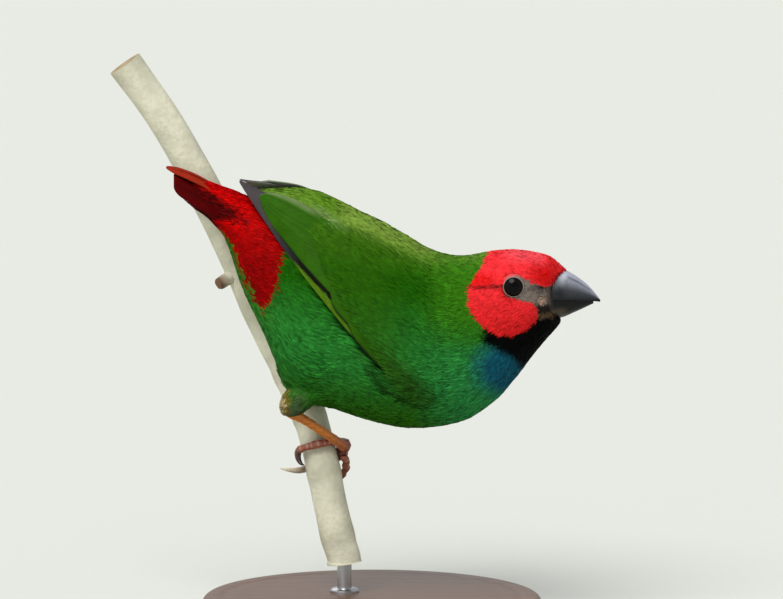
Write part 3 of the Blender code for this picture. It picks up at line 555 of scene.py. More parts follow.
def stem_bark():
    """Smooth pale bark of a shrub's stem: matt, with broad and fine grey-green mottling."""
    material, tree, shader = new_material("pale_smooth_bark")
    tint = add(tree, "ShaderNodeAttribute", "Color", {}, attribute_name="tint")
    colour, height = mottled(tree, tint, 5.0, 0.8, 1.12, 6.0)
    colour, fine = mottled(tree, colour, 0.9, 0.9, 1.06, 4.0)
    both = add(tree, "ShaderNodeMath", "Value", {0: height, 1: fine}, operation="ADD")
    bump = add(tree, "ShaderNodeBump", "Normal", {"Height": both, "Strength": 0.7, "Distance": 0.0002})
    wire(tree, shader, {"Base Color": colour, "Normal": bump, "Roughness": 0.72})
    return material


def turned_wood():
    """Turned and oiled walnut: growth bands 4.5 mm apart and fine pores along the grain."""
    material, tree, shader = new_material("oiled_walnut")
    place = add(tree, "ShaderNodeTexCoord", "Object", {})
    grain = add(tree, "ShaderNodeMapping", "Vector", {"Vector": place, "Scale": (0.18, 1.0, 1.0)})
    bands = add(tree, "ShaderNodeTexWave", "Fac", {"Vector": grain, "Scale": 70.0, "Distortion": 9.0,
                                                   "Detail": 4.0, "Detail Scale": 1.0}, bands_direction="Y")
    pores = add(tree, "ShaderNodeTexNoise", "Fac", {"Vector": grain, "Scale": 1600.0, "Detail": 2.0})
    brown = add(tree, "ShaderNodeMix", "Result", {"Factor": bands, "A": rgba("#583a24"),
                                                  "B": rgba("#65432b")}, data_type="RGBA")
    dark = add(tree, "ShaderNodeMapRange", "Result", {"Value": pores, "From Min": 0.35, "From Max": 0.6,
                                                      "To Min": 0.72, "To Max": 1.0})
    colour = add(tree, "ShaderNodeMix", "Result", {"Factor": 1.0, "A": brown, "B": dark}, **MULTIPLY)
    bump = add(tree, "ShaderNodeBump", "Normal", {"Height": pores, "Strength": 0.3, "Distance": 0.0001})
    wire(tree, shader, {"Base Color": colour, "Normal": bump, "Roughness": 0.38, "Coat Weight": 0.15,
                        "Coat Roughness": 0.25})
    return material


def drawn_steel():
    """Drawn steel rod: fine scratches along its length over a satin metal."""
    material, tree, shader = new_material("drawn_steel")
    place = add(tree, "ShaderNodeTexCoord", "Object", {})
    drawn = add(tree, "ShaderNodeMapping", "Vector", {"Vector": place, "Scale": (1.0, 1.0, 0.03)})
    scratch = add(tree, "ShaderNodeTexNoise", "Fac", {"Vector": drawn, "Scale": 4000.0, "Detail": 2.0})
    rough = add(tree, "ShaderNodeMapRange", "Result", {"Value": scratch, "To Min": 0.22, "To Max": 0.42})
    wire(tree, shader, {"Base Color": rgba("#b9bbbd"), "Roughness": rough, "Metallic": 1.0})
    return material


def floor_paper():
    """Matt pale card for the floor."""
    material, tree, shader = new_material("matt_pale_card")
    place = add(tree, "ShaderNodeTexCoord", "Object", {})
    noise = add(tree, "ShaderNodeTexNoise", "Fac", {"Vector": place, "Scale": 900.0, "Detail": 2.0})
    colour = add(tree, "ShaderNodeMix", "Result", {"Factor": noise, "A": rgba("#c2c4bd"),
                                                   "B": rgba("#c6c8c1")}, data_type="RGBA")
    wire(tree, shader, {"Base Color": colour, "Roughness": 0.9})
    return material


# Contour feather barbs: soft keratin, matt, with next to no gloss
FEATHER = tinted("contour_feather_barbs", 0.6, 1.2, 0.82, 1.15, specular=0.03)
VANE = flight_feather()
# Horn of the bill: keratin with a low satin gloss
KERATIN = tinted("bill_keratin", 0.36, 0.8, 0.82, 1.12, 0.03, coat=0.05, specular=0.18)
# Skin under feathers, dull, its colour the plumage's darkened as painted shade deep in the coat, bare skin
# of the lids, and scutes of leg and toes
SKIN = tinted("feathered_skin", 0.8, 1.5, 0.7, 1.0, 0.1)
LID = tinted("bare_lid_skin", 0.6, 0.35, 0.75, 1.15, 0.06)
SCUTE = tinted("leg_scute_skin", 0.42, 0.5, 0.78, 1.18, 0.05, coat=0.15)
# Horn of the claws, a little glossier than the scutes
CLAW = tinted("claw_horn", 0.35, 0.6, 0.85, 1.1, 0.02, coat=0.2)

# The skin under the coat

FLESH = ("torso", "neck", "head")


def coat_depth(place, angle):
    """How deep the skin lies under the coat's tips: 1.4 mm on the body, 0.6 mm on the face, and
    nearly none along the forehead's ridge."""
    over = clip01(np.cos(angle)) ** 2 * clip01(place - 14.0)
    depth = np.interp(place, [0, 2, 9, 12, 13.6, 14.4, 15, 16], [0.8, 1.4, 1.4, 0.6, 0.7, 1.2, 1.5, 1.4])
    return (1 - 0.85 * over) * depth


def round_share(angle):
    """Share of the way round for a turn, kept off the map's edges."""
    return 0.02 + 0.96 * (angle / (2 * math.pi) % 1.0)


def shell_map(place, angle):
    """Unwrap of the body by place and angle, laid in the unit square."""
    return np.stack([0.02 + 0.96 * (place + EXTRA) / (len(COAT_CUTS) - 1), round_share(angle)], axis=-1)


def build_skin():
    """The coat's shell drawn in by the coat's depth, closed with a pole at each end."""
    rows, around = 200, 120
    place, angle = grid_of(np.linspace(0, len(BODY_CUTS) - 0.75, rows), round_turn(around))
    points, faces = closed_tube(shell_point(BODY_CUTS, place, angle, -coat_depth(place, angle)), flip=True)
    places = np.concatenate([shell_map(place, angle).reshape(-1, 2), [[0.1, 0.5], [0.98, 0.5]]])
    # The skin's colour is the plumage's at 0.7: painted shade deep between the feathers
    add_piece("skin_body", [(points, faces)], SKIN, FLESH, [0.7 * plumage(points)],
              {"OFBake": [places]})


# The coat

# A blade's rows along it: share of its length, share of its half width, and brightness
BLADE_T = np.array([0.0, 0.35, 0.72, 1.0])
BLADE_WIDTH = np.array([0.6, 1.0, 0.78, 0.16])
BLADE_SHADE = np.array([0.55, 0.85, 1.0, 1.06])
BLADE_SIDES = np.array([-1.0, 1.0])
STEPS_ALONG, STEPS_ROUND = 400, 181     # how finely a surface is measured for its roots


def spread_roots(surface, start, end, turns, spacing):
    """Roots in staggered rows over a stretch of a surface. Rows lie one spacing apart by the mean of
    its middle and first line, each with as many roots as the spacing fits round it, all a little
    off."""
    steps = np.linspace(start, end, STEPS_ALONG)
    lines = (surface(steps, np.full(STEPS_ALONG, turn)) for turn in (np.mean(turns), turns[0]))
    run = sum(np.linalg.norm(np.diff(line, axis=0), axis=1) for line in lines)
    gap = np.array([spacing(s) for s in steps])
    count = np.concatenate([[0.0], np.cumsum(0.5 * run / gap[1:])])
    rows = np.interp(np.arange(0.5, count[-1]), count, steps)
    slopes = np.abs(np.gradient(rows))
    turn = np.linspace(turns[0], turns[1], STEPS_ROUND)
    places, angles = [], []
    for index, row in enumerate(rows):
        ring = surface(np.full(STEPS_ROUND, row), turn)
        reach = np.concatenate([[0.0], np.cumsum(np.linalg.norm(np.diff(ring, axis=0), axis=1))])
        wanted = np.arange(0.25 + 0.5 * (index % 2), reach[-1] / spacing(row)) * spacing(row)
        wanted = wanted + rng.uniform(-0.3, 0.3, len(wanted)) * spacing(row)
        angles.append(np.interp(wanted, reach, turn))
        places.append(row + rng.uniform(-0.35, 0.35, len(wanted)) * slopes[index])
    return np.concatenate(places), np.concatenate(angles)


def lay_feathers(surface, place, angle, length, width, blades, lie, sink, rise, yaw):
    """Feathers as fans of narrow blades. A blade's points run along the surface from the root,
    spread sideways by the sine of their share of the way, and stand off it by a curve that
    starts under the surface and rises to the tip. Returns points (feather, blade, row, 2, 3)."""
    count = len(place)
    q = np.linspace(-1, 1, blades)[None, :] + rng.uniform(-0.12, 0.12, (count, blades))
    reach = length[:, None] * (1 - 0.26 * q ** 2) * rng.uniform(0.86, 1.08, (count, blades))
    t = BLADE_T[None, None, :]
    s = reach[..., None] * t + 0.12 * length[:, None, None] * rng.uniform(0, 1, (count, blades, 1))
    fan = 0.5 * width[:, None, None] * q[..., None] * (0.3 + 0.7 * np.sin(t * math.pi / 2))
    half = (0.62 * width / blades)[:, None, None, None] * BLADE_WIDTH[:, None]
    w = fan[..., None] + half * BLADE_SIDES
    s = np.broadcast_to(s[..., None], w.shape)
    turn = yaw[:, None, None, None] + 0.12 * rng.standard_normal((count, 1, 1, 1))
    s, w = s * np.cos(turn) - w * np.sin(turn), s * np.sin(turn) + w * np.cos(turn)
    _, _, run, girth = surface_frame(surface, place, angle, lie)
    p = place[:, None, None, None] + lie * s / run[:, None, None, None]
    a = angle[:, None, None, None] + w / girth[:, None, None, None]
    point, normal, _, _ = surface_frame(surface, p, a, lie)
    rise = rise + 0.1 * rng.uniform(-1, 1, count)
    lift = (sink + rise)[:, None, None] * np.sin(clip01(t / 0.75) * math.pi / 2) - sink[:, None, None]
    tilt = 0.25 * rng.standard_normal((count, blades, 1, 1)) * half * BLADE_SIDES
    return point + normal * (lift[..., None] + tilt)[..., None]


def coat_piece(name, surface, place, angle, size, lie, nodes, paint, unwrap, yaw=0.0, fray=0.35,
               contrast=0.17):
    """Builds one piece of the coat. The size gives length, width, blades, sink and rise, the fray
    is how far, in millimetres, a feather's colour is read from its own place, and the contrast is
    how much one blade may differ from the next in brightness."""
    length, width, blades, sink, rise = size
    length, width, sink, rise, yaw = (np.broadcast_to(value, place.shape).astype(float)
                                      for value in (length, width, sink, rise, yaw))
    points = lay_feathers(surface, place, angle, length, width, blades, lie, sink, rise, yaw)
    middle = points.mean(axis=(2, 3))
    stray = fray * rng.standard_normal((len(place), 1, 3)) + 0.4 * fray * rng.standard_normal(middle.shape)
    colour = paint(middle + stray) * (1 + contrast * rng.uniform(-1, 1, middle.shape[:2]))[..., None]
    colour *= 1 + 0.5 * contrast * rng.uniform(-1, 1, (len(place), 1, 1))
    tints = colour[:, :, None, None] * BLADE_SHADE[:, None, None] * np.ones((2, 1))
    # In the bake map each blade has its own small rectangle beside its root
    local = (np.stack(grid_of(BLADE_T, [0.0, 1.0]), axis=-1) - 0.5) * [0.003, 0.003 / blades]
    offset = np.arange(blades)[:, None, None, None] / blades * np.array([0.0, 0.0015])
    places = unwrap(place, angle)[:, None, None, None] + local + offset
    faces = grid_faces(4, 2, count=len(place) * blades)
    return add_piece(name, [(points.reshape(-1, 3), [faces])], FEATHER, nodes,
                     [clip01(tints).reshape(-1, 3)], {"OFBake": [places.reshape(-1, 2)]})


# Outline of a folded wing in side view, a little inside its edge: no body feathers grow there
UNDER_WING = [
    (11.0, 53.0), (11.0, 64.0), (6.8, 72.0), (0.0, 76.5), (-8.0, 79.5), (-15.0, 84.5), (-20.5, 86.2),
    (-24.4, 87.4), (-20.9, 83.0), (-16.4, 77.2), (-8.6, 66.4), (-1.4, 57.2), (4.5, 51.5), (8.0, 50.0)]
# The folded wing's lower edge, closed above it: flank feathers stop short of it
WING_LOW_EDGE = [
    (9.0, 46.5), (3.0, 50.5), (-3.0, 58.6), (-9.4, 67.2), (-14.0, 74.0), (-18.4, 80.4), (-22.6, 85.6),
    (-26.0, 90.2), (-12.0, 86.0), (12.0, 75.0), (12.0, 50.0)]
# Where the bill starts: heights, and x at each
BILL_BASE = ([60.0, 62.4, 63.1, 64.5, 66.0, 67.2, 68.5, 69.6, 71.0, 71.9, 72.4],
             [42.0, 40.4, 38.7, 37.6, 36.6, 36.5, 36.9, 37.5, 38.1, 38.9, 42.0])
LID_OUTER = 2.16                # radius of the ring of bare skin round the eye

# Pieces of the body's coat: name, first and last place, blades in a feather, slot, fray, contrast
COAT_STRETCHES = [
    ("coat_vent", -0.7, 2.6, 6, "plumage_red", 0.35, 0.42),
    ("coat_flank", 2.6, 5.4, 6, "plumage_green", 0.35, 0.26),
    ("coat_belly", 5.4, 7.6, 6, "plumage_green", 0.35, 0.26),
    ("coat_breast", 7.6, 9.4, 6, "plumage_green", 0.35, 0.26),
    ("coat_nape", 9.4, 11.0, 5, "plumage_green", 0.15, 0.12),
    ("coat_cheek", 11.0, 13.2, 5, "plumage_red", 0.15, 0.12),
    ("coat_face", 13.2, 16.5, 5, "plumage_red", 0.15, 0.12)]


def coat_spacing(place):
    """Distance between feather roots in millimetres: wide on the back, close on the face."""
    return float(np.interp(place, [-2, 3, 8, 10, 12, 16], [0.56, 0.62, 0.6, 0.5, 0.38, 0.3]))


def clear_of_face(points, length):
    """Which roots lie outside the eye's opening and the bill, lengths shortened near the eye, and
    how near the bill each root is."""
    x, z = points[:, 0], points[:, 2]
    eye = np.hypot(x - EYE_X, z - EYE_Z)
    base = np.interp(z, *BILL_BASE)
    keep = (eye > np.where(x < EYE_X, 2.02, LID_OUTER)) & (x < base)
    room = np.where(x < EYE_X - 1.0, 9.0, eye - LID_OUTER + 0.2)
    return keep, np.minimum(length, np.maximum(0.4, room)), clip01(1 - (base - x) / 1.6) * (x > 33)


def build_coat():
    """The coat of the body, neck and head in stretches, and the mantle between the wings."""
    for name, start, end, blades, slot, fray, contrast in COAT_STRETCHES:
        place, angle = spread_roots(body_surface, start, end, (0.0, 2 * math.pi), coat_spacing)
        point = body_surface(place, angle)
        length = np.interp(place, [-2, 1, 4, 8, 10, 12, 14, 16], [3.4, 4.8, 4.4, 3.8, 2.9, 1.9, 1.5, 1.1])
        keep, length, bared = clear_of_face(point, length)
        over = 1 - np.abs(math.pi - angle) / math.pi
        keep &= ~within(UNDER_WING, point) & ((place < 16.0) | (over < 0.1))
        place, angle, length, bared, over = place[keep], angle[keep], length[keep], bared[keep], over[keep]
        # Where each feather ends: cuts lie about 6 mm apart on the body and 3.6 mm on the head
        tip = body_surface(place - length / np.interp(place, [0, 16], [6.0, 3.6]), angle)
        tucked = within(WING_LOW_EDGE, tip)
        length = np.where(tucked, 0.5 * length, length)
        width = np.interp(place, [-2, 4, 8, 10, 12, 16], [1.8, 2.0, 1.9, 1.4, 0.85, 0.55])
        sink = np.interp(place, [-2, 9, 12, 16], [0.7, 0.8, 0.35, 0.25]) + 0.9 * bared
        rise = np.interp(place, [-2, 2, 9, 12, 16], [0.15, 0.25, 0.2, 0.12, 0.08]) - 0.25 * tucked
        # Belly feathers behind the leg are longer and stand off loosely
        fluff = np.interp(place, [4.9, 5.4, 5.8, 6.2], [0, 1, 1, 0]) * clip01((over - 0.5) / 0.3)
        length, rise = length + 0.9 * fluff, rise + 1.1 * fluff * rng.uniform(0.4, 1.1, len(place))
        # Rump and flank feathers droop from the body's line towards level
        droop = np.interp(place, [-0.5, 0.6, 3.6, 5.2, 7.0], [0.2, 0.6, 0.6, 0.35, 0.0])
        droop = droop * np.abs(np.sin(angle)) * (0.6 + 0.55 * over) * np.sign(math.pi - angle)
        coat_piece(name, body_surface, place, angle, (length, width, blades, sink, rise), -1, FLESH,
                   lambda points: plumage(points, 0.08), shell_map, droop, fray, contrast)
    # The mantle lies thick between the wings and over their inner edges
    place, angle = spread_roots(mantle_surface, 2.3, 8.2, (-1.0, 1.0), coat_spacing)
    between = np.interp(place, [1.5, 2.2, 3.4, 5.0], [0.16, 0.3, 0.62, 0.8])
    keep = (angle < between) & (angle > -1.2 * between)
    place, angle = place[keep], angle[keep]
    size = (np.interp(place, [1.5, 3.6], [2.2, 4.2]), 2.0, 6, 1.4, 0.15)
    coat_piece("coat_mantle", mantle_surface, place, angle, size, -1, FLESH, mantle_paint,
               shell_map)


def mantle_paint(points):
    """The plumage, yellower on the far side of the lower back."""
    far = clip01((points[..., 1] - 0.3) / 1.2) * clip01((-4.0 - points[..., 0]) / 4.0)
    return blend(plumage(points, 0.08, 0.0), "edge_yellow", 0.55 * far)


def mantle_surface(place, angle):
    """The body's shell raised by up to 2.6 mm along the back's ridge, fading to the sides and ends."""
    fade = np.interp(place, [0.6, 1.6, 2.6, 4.5, 6.0, 8.0], [0.2, 1.0, 2.3, 2.6, 1.6, 0.0])
    return shell_point(COAT_CUTS, place + EXTRA, angle, fade * clip01(np.cos(angle * 1.25)) - 0.15)


# Wings

# Tier: count, first and last root, first and last tip, half width near root and tip, depth at both,
# lap and bow, from the outermost feather to the innermost
WING_TIERS = {
    "primary": (9, (7.6, 48.4), (1.0, 62.0), (-26.8, 92.0), (-22.6, 89.8),
                (1.9, 1.7), (1.3, 0.95), 0.04, -0.3),
    "secondary": (7, (0.4, 62.5), (-1.6, 73.0), (-22.6, 88.4), (-20.8, 87.9),
                  (2.3, 2.3), (0.75, 0.55), 0.04, -0.2),
    "tertial": (3, (-2.6, 74.0), (-4.2, 78.6), (-22.9, 88.8), (-21.9, 89.0),
                (2.2, 2.2), (0.42, 0.3), 0.1, -1.0),
    "primary_covert": (4, (8.2, 49.0), (4.6, 57.0), (-4.4, 63.2), (-6.6, 68.0),
                       (1.6, 1.6), (1.3, 0.75), 0.04, -0.2),
    "greater_covert": (8, (4.0, 58.0), (2.6, 74.0), (-8.2, 69.0), (-9.2, 80.6),
                       (1.9, 1.9), (0.9, 0.62), 0.036, 0.0)}
COVERT_AREA = [
    (15.0, 49.0), (15.5, 66.0), (8.5, 76.0), (2.0, 79.6), (-5.0, 82.0), (-10.0, 82.6), (-10.8, 80.5),
    (-9.2, 76.5), (-6.2, 71.0), (-1.6, 63.8), (3.8, 55.0), (8.4, 47.4)]
# Share of the way that the yellow-green edge reaches on each primary, from the outermost
YELLOW_REACH = (0.67, 0.63, 0.57, 0.47, 0.36, 0.0)
VANE_THICKNESS = 0.16
VANE_C = np.array([-1.0, -0.82, -0.5, -0.2, -0.05, 0.05, 0.2, 0.5, 0.82, 1.0])
BARB_SPACING = 0.35
BANDS_PER_UNIT = 3.2            # bands that the wave texture draws over one unit of its map


def vane_shape(t):
    """Half width along a vane: narrow at the root, full from mid way, rounded at the tip."""
    rise = 0.5 + 0.5 * clip01(t / 0.45)
    return rise * np.sqrt(np.clip(1 - (clip01(t - 0.62) / 0.382) ** 2.2, 0.004, 1))


def crowded(start, rows):
    """Shares of the way that crowd towards 1, for the rows of a round tip."""
    return np.sin(np.linspace(start, 1, rows) * math.pi / 2)


def add_vanes(name, vanes, node):
    """One piece from closed vanes. Each gives its upper and lower grid, whether it is flipped, the
    paint of both faces, and its places along, length and slant for the maps: its own strip of the
    bake map, and barbs that slant off the shaft."""
    parts, tints, bake_places, barb_places = [], [], [], []
    for number, (upper, lower, flip, paints, t, length, slant) in enumerate(vanes):
        parts.append(closed_plate(upper, lower, flip=flip))
        tints += [clip01(paint).reshape(-1, 3) for paint in paints]
        rows, columns = grid_of(t, VANE_C)
        across = (number + 0.1 + 0.4 * (columns + 1)) / len(vanes)
        strip = np.stack([across, 0.01 + 0.48 * rows], axis=-1).reshape(-1, 2)
        bake_places += [strip, strip + [0, 0.5]]
        barbs = (rows * length - slant * np.abs(columns)) / BARB_SPACING / BANDS_PER_UNIT
        barb_places += [np.stack([columns, barbs], axis=-1).reshape(-1, 2)] * 2
    add_piece(name, parts, VANE, (node,), tints, {"OFBake": bake_places, "barbs": barb_places})


def wing_vane(root, tip, half_widths, depth, bow, lean, side):
    """Grid of one flight feather on the wing shell: a bowed line in side view from root to tip,
    widened square to it in the shell, cupped, raised at the shaft, and drooped by half the square
    of the reach over the bend."""
    run = np.subtract(tip, root)
    t = np.concatenate([np.linspace(0, 0.76, 16), 0.78 + 0.22 * crowded(0.1, 9)])
    aside = np.array([-run[1], run[0]]) / np.hypot(*run)
    line = np.array(root) + t[:, None] * run + (bow * np.sin(math.pi * t))[:, None] * aside
    place, angle = shell_place(WING_SHELL_CUTS, line[:, 0], line[:, 1])
    point, normal, _, girth = surface_frame(wing_surface(lean), place, side * angle, -1)
    across = side * unit(np.cross(normal, unit(np.gradient(point, axis=0))))
    # The shell's bend across the vane, not tighter than 7 mm
    bend = np.maximum(girth ** 2 / 16.0, 7.0)[:, None]
    reach = VANE_C[None, :] * (np.interp(t, [0.66, 0.9], half_widths) * vane_shape(t))[:, None]
    under = (depth[0] + (depth[1] - depth[0]) * t)[:, None]
    shaft = 0.1 * np.exp(-(VANE_C / 0.12) ** 2)[None, :] * (1 - 0.8 * t[:, None])
    drop = under + reach ** 2 / (2 * bend) - shaft - 0.12 * (1 - VANE_C[None, :] ** 2)
    upper = point[:, None] + across[:, None] * reach[..., None] - normal[:, None] * drop[..., None]
    return upper, upper - normal[:, None] * VANE_THICKNESS, t


def vane_paint(tier, index, t):
    """Colour over a flight feather by its share of the way (t) and across (c, 1 at the outer edge), with
    painted shade in the gaps between feathers and along lapped edges.
    """
    t, c = grid_of(t, VANE_C)
    colour = np.broadcast_to(PAINT["slate"], t.shape + (3,)).copy()
    if tier == "primary":
        # Near black up to the tip: the inner web's own dark grey, deepened by painted shade in the gaps
        # between the primaries
        colour = blend(colour, "gap_shade_black", (0.72 - t) / 0.1)
        reach = clip01((YELLOW_REACH[min(index, 5)] - t) / 0.08)
        colour = blend(colour, "edge_yellow", (c - 0.1) / 0.2 * reach)
        colour = blend(colour, "tip", (t - 0.72) / 0.12)
    elif tier == "secondary":
        colour = blend(colour, "wing", (c + 0.45) / 0.25)
        if index == 0:
            # The lowest secondary's outer edge gets a line of painted shade
            edge = 0.86 + 0.06 * clip01((0.6 - t) / 0.3)
            colour = blend(colour, "gap_shade_black", (c - edge) / 0.08 * clip01((0.84 - t) / 0.1))
    elif tier == "tertial":
        colour = blend(colour, "wing", (c + 0.95) / 0.1)
        colour = blend(colour, "grey_edge", clip01((-0.25 - c) / 0.4) * clip01((t - 0.4) / 0.15))
    else:
        colour = blend(colour, "wing", np.ones(c.shape))
        if tier == "primary_covert" or index == 0:
            # Black outer edges: painted shade where the coverts lap
            colour = blend(colour, "gap_shade_black", (c - 0.78) / 0.1)
    shaft = np.exp(-(c / 0.08) ** 2)
    return colour * (1 - 0.22 * shaft)[..., None] * (0.85 + 0.15 * clip01(t / 0.3))[..., None]


def wing_coat_paint(points):
    """The plumage, turned to the wing's darker green away from the back and the breast."""
    aside = clip01((np.abs(points[..., 1]) - 3.5) / 6)
    return blend(plumage(points, 0.08), "wing", 0.7 * aside * clip01((9 - points[..., 0]) / 8))


def build_wing(name, side, lean):
    """One folded wing: its vanes in tiers, and the small feathers over its shoulder."""
    vanes = []
    for tier, (count, root_a, root_b, tip_a, tip_b, width, depth, lap, bow) in WING_TIERS.items():
        for k in range(count):
            share = k / (count - 1)
            root = np.array(root_a) + share * np.subtract(root_b, root_a)
            tip = np.array(tip_a) + share * np.subtract(tip_b, tip_a)
            upper, lower, t = wing_vane(root, tip, width, np.subtract(depth, lap * k), bow, lean, side)
            paint = vane_paint(tier, k, t)
            vanes.append((upper, lower, side < 0, (paint, 0.2 * paint + 0.8 * PAINT["under"]), t,
                          np.hypot(*(tip - root)), 1.2 * width[0]))
    add_vanes("vanes_" + name, vanes, name)
    surface = wing_surface(lean)
    turns = (0.0, math.pi) if side > 0 else (-math.pi, 0.0)
    place, angle = spread_roots(surface, 3.0, 8.9, turns, lambda s: 0.78)
    point = shell_point(WING_SHELL_CUTS, place, angle)
    keep = within(COVERT_AREA, point)
    place, angle, point = place[keep], angle[keep], point[keep]
    edge = inside(COVERT_AREA, point[:, 0], point[:, 2], 4.0)
    front = clip01((point[:, 0] - 5.5) / 9.0)
    rise = -0.05 - 1.55 * front - 0.5 * clip01(0.72 - edge)
    coat_piece("coat_" + name, surface, place, angle, (3.4, 1.9, 5, 0.9 + 1.4 * front, rise), -1,
               (name,), wing_coat_paint,
               lambda p, a: np.stack([0.02 + 0.1 * p, round_share(a)], -1), -side * 0.25)


# Tail

TAIL_ROOT = (-27.6, 84.6)
TAIL_TIP_TOP = (-42.0, 94.2)
TAIL_TIP_LOW = (-40.2, 91.0)
TAIL_PAIRS = 6


def build_tail():
    """Twelve rectrices as closed vanes in a roof-shaped fan, each turned a little further down."""
    vanes = []
    t = np.concatenate([np.linspace(0, 0.8, 12), 0.8 + 0.2 * crowded(0.12, 8)])
    c = VANE_C[None, :, None]
    for number in range(2 * TAIL_PAIRS):
        pair, side = number // 2, 2 * (number % 2) - 1
        share = pair / (TAIL_PAIRS - 1)
        top = pair == 0
        root = np.array([TAIL_ROOT[0], side * (0.3 + 1.1 * share), TAIL_ROOT[1] + 1.6 - 3.4 * share])
        tip_x, tip_z = np.array(TAIL_TIP_TOP) + share * np.subtract(TAIL_TIP_LOW, TAIL_TIP_TOP)
        tip = np.array([tip_x, side * (0.75 + 2.6 * share), tip_z - 0.12 * (side + 1)])
        if not top:
            tip = tip + (1 - share) * np.array([1.6, 0.0, -0.9])
        along = unit(tip - root)
        roll = side * (0.45 if top else 0.95 + 0.15 * share)
        across = np.array([0.0, math.cos(roll), -math.sin(roll)])
        across = unit(across - along * float(across @ along))
        flat = np.cross(across, along)
        upward = flat * np.sign(flat[2])
        full = np.interp(t, [0, 0.35, 0.65, 0.85], [0.55, 0.9, 1.0, 0.86])
        point_end = np.sqrt(np.clip(1 - (clip01(t - 0.84) / 0.162) ** (1.2 if top else 1.6), 0.002, 1))
        width = 2.1 * full * point_end * (0.82 if top else 1.0)
        lift = (1.0 if top else 0.35) * np.sin(math.pi * t)[:, None, None] + 0.1 * np.exp(-(c / 0.12) ** 2)
        upper = root + np.outer(t, tip - root)[:, None] + across * c * width[:, None, None]
        upper = upper + upward * (lift - 0.15 * c ** 2 - 0.06 * pair)
        colour = np.broadcast_to(PAINT["tail"], upper.shape)
        # The top pair stays brick red; the lower pairs darken with painted shade on the fan's side, more
        # towards the bottom
        paint, cover = ("tail_top", 0.9) if top else ("tail_side_painted_shade", 0.8 + 0.2 * share)
        colour = blend(colour, paint, np.full(upper.shape[:2], cover))
        colour = colour * (1 - 0.4 * np.exp(-(c / 0.08) ** 2))
        lower = upper - upward * VANE_THICKNESS
        vanes.append((upper, lower, flat[2] > 0, (colour, 0.6 * colour), t, 16, 2.4))
    add_vanes("tail_feathers", vanes, "tail")


# Bill


def bill_rings(table, steps, around):
    """Half-round sections: x from the table, half width times the cosine of the turn, and the
    edge's height plus the rise to the ridge times the sine of the turn to the power 0.8."""
    x, ridge, edge, width = smooth_rows(table, np.linspace(0, len(table) - 1, steps)).T
    turn = np.linspace(0, math.pi, around)
    y = np.cos(turn)[None, :] * width[:, None]
    z = edge[:, None] + (ridge - edge)[:, None] * np.sin(turn)[None, :] ** 0.8
    return np.stack([x[:, None] + 0 * y, y, z], axis=-1)


def spot(x, z, middle_x, middle_z, reach):
    """1 at a point in side view, falling off like a bell over the reach."""
    return np.exp(-(np.hypot(x - middle_x, z - middle_z) / reach) ** 2)


def build_bill():
    """Both halves, with a nostril pressed in on each side. The upper one is dark at its edge and lighter up
    to a pale ridge, partly the horn's own grey and partly painted sheen from above, with a painted highlight
    by the nostril and painted shade in a groove beside the ridge, in the nostril and at its base."""
    upper = bill_rings(UPPER_BILL, 60, 48)
    for side in (-1, 1):
        near = np.hypot((upper[..., 0] - NOSTRIL_X) / 0.5, (upper[..., 2] - NOSTRIL_Z) / 0.42)
        near = np.where(upper[..., 1] * side > 0, near, 9.0)
        upper[..., 1] -= side * 0.22 * np.exp(-near ** 2)
    x, z = upper[..., 0], upper[..., 2]
    ridge = np.interp(x, [row[0] for row in UPPER_BILL], [row[1] for row in UPPER_BILL])
    height = clip01((z - 66.6) / np.maximum(ridge - 66.6, 0.2))
    # From the dark edge through grey to a pale ridge: the pale is painted sheen from above
    grey, pale, dark = linear("#3d4044"), linear("#969aa8"), linear("#08090a")
    tint = dark + (grey - dark) * clip01(height / 0.5)[..., None]
    tint = tint + (pale - tint) * (clip01((height - 0.4) / 0.5) ** 1.5)[..., None]
    # A painted highlight by the nostril
    tint = tint + (linear("#c9ccd2") - tint) * (0.3 * spot(x, z, 39.4, 71.2, 0.9))[..., None]
    # Painted shade in the groove beside the ridge, in the nostril's dent and at the bill's base
    groove = np.exp(-((height - 0.84) / 0.055) ** 2) * clip01((x - 39.6) / 0.8) * clip01((46 - x) / 1.5)
    shade = 1 - 0.3 * spot(x, z, NOSTRIL_X, NOSTRIL_Z, 0.45) - 0.6 * groove
    tint = tint * (shade * (1 - 0.6 * spot(x, z, 38.4, 68.3, 1.1)))[..., None]
    add_piece("bill_upper_horn", [closed_tube(upper, flip=True)], KERATIN, ("bill_upper",),
              [tube_tint(tint)], sharp=60)
    rows = [(x, ridge, edge + 0.3, width * 0.97) for x, ridge, edge, width in LOWER_BILL]
    points, faces = closed_tube(bill_rings(rows, 50, 40))
    tan, black = linear("#40382a"), linear("#040504")
    share = clip01((40.4 - points[:, 0]) / 1.6) * clip01((65.6 - points[:, 2]) / 0.9)
    add_piece("bill_lower_horn", [(points, faces)], KERATIN, ("bill_lower",),
              [black + (tan - black) * share[:, None]], sharp=60)


# Eyes

LID_ROUND, LID_SECTION, LID_BEADS = 96, 16, 26


def eye_centre(side):
    """Centre of the ball, so that it stands out of the lids' opening by the bulge."""
    place, angle = shell_place(BODY_CUTS, EYE_X, EYE_Z)
    x, y, z = shell_point(BODY_CUTS, place, angle)
    sink = math.sqrt(EYE_RADIUS ** 2 - EYE_OPENING ** 2) - EYE_BULGE
    return np.array([x, side * (abs(y) - sink), z])


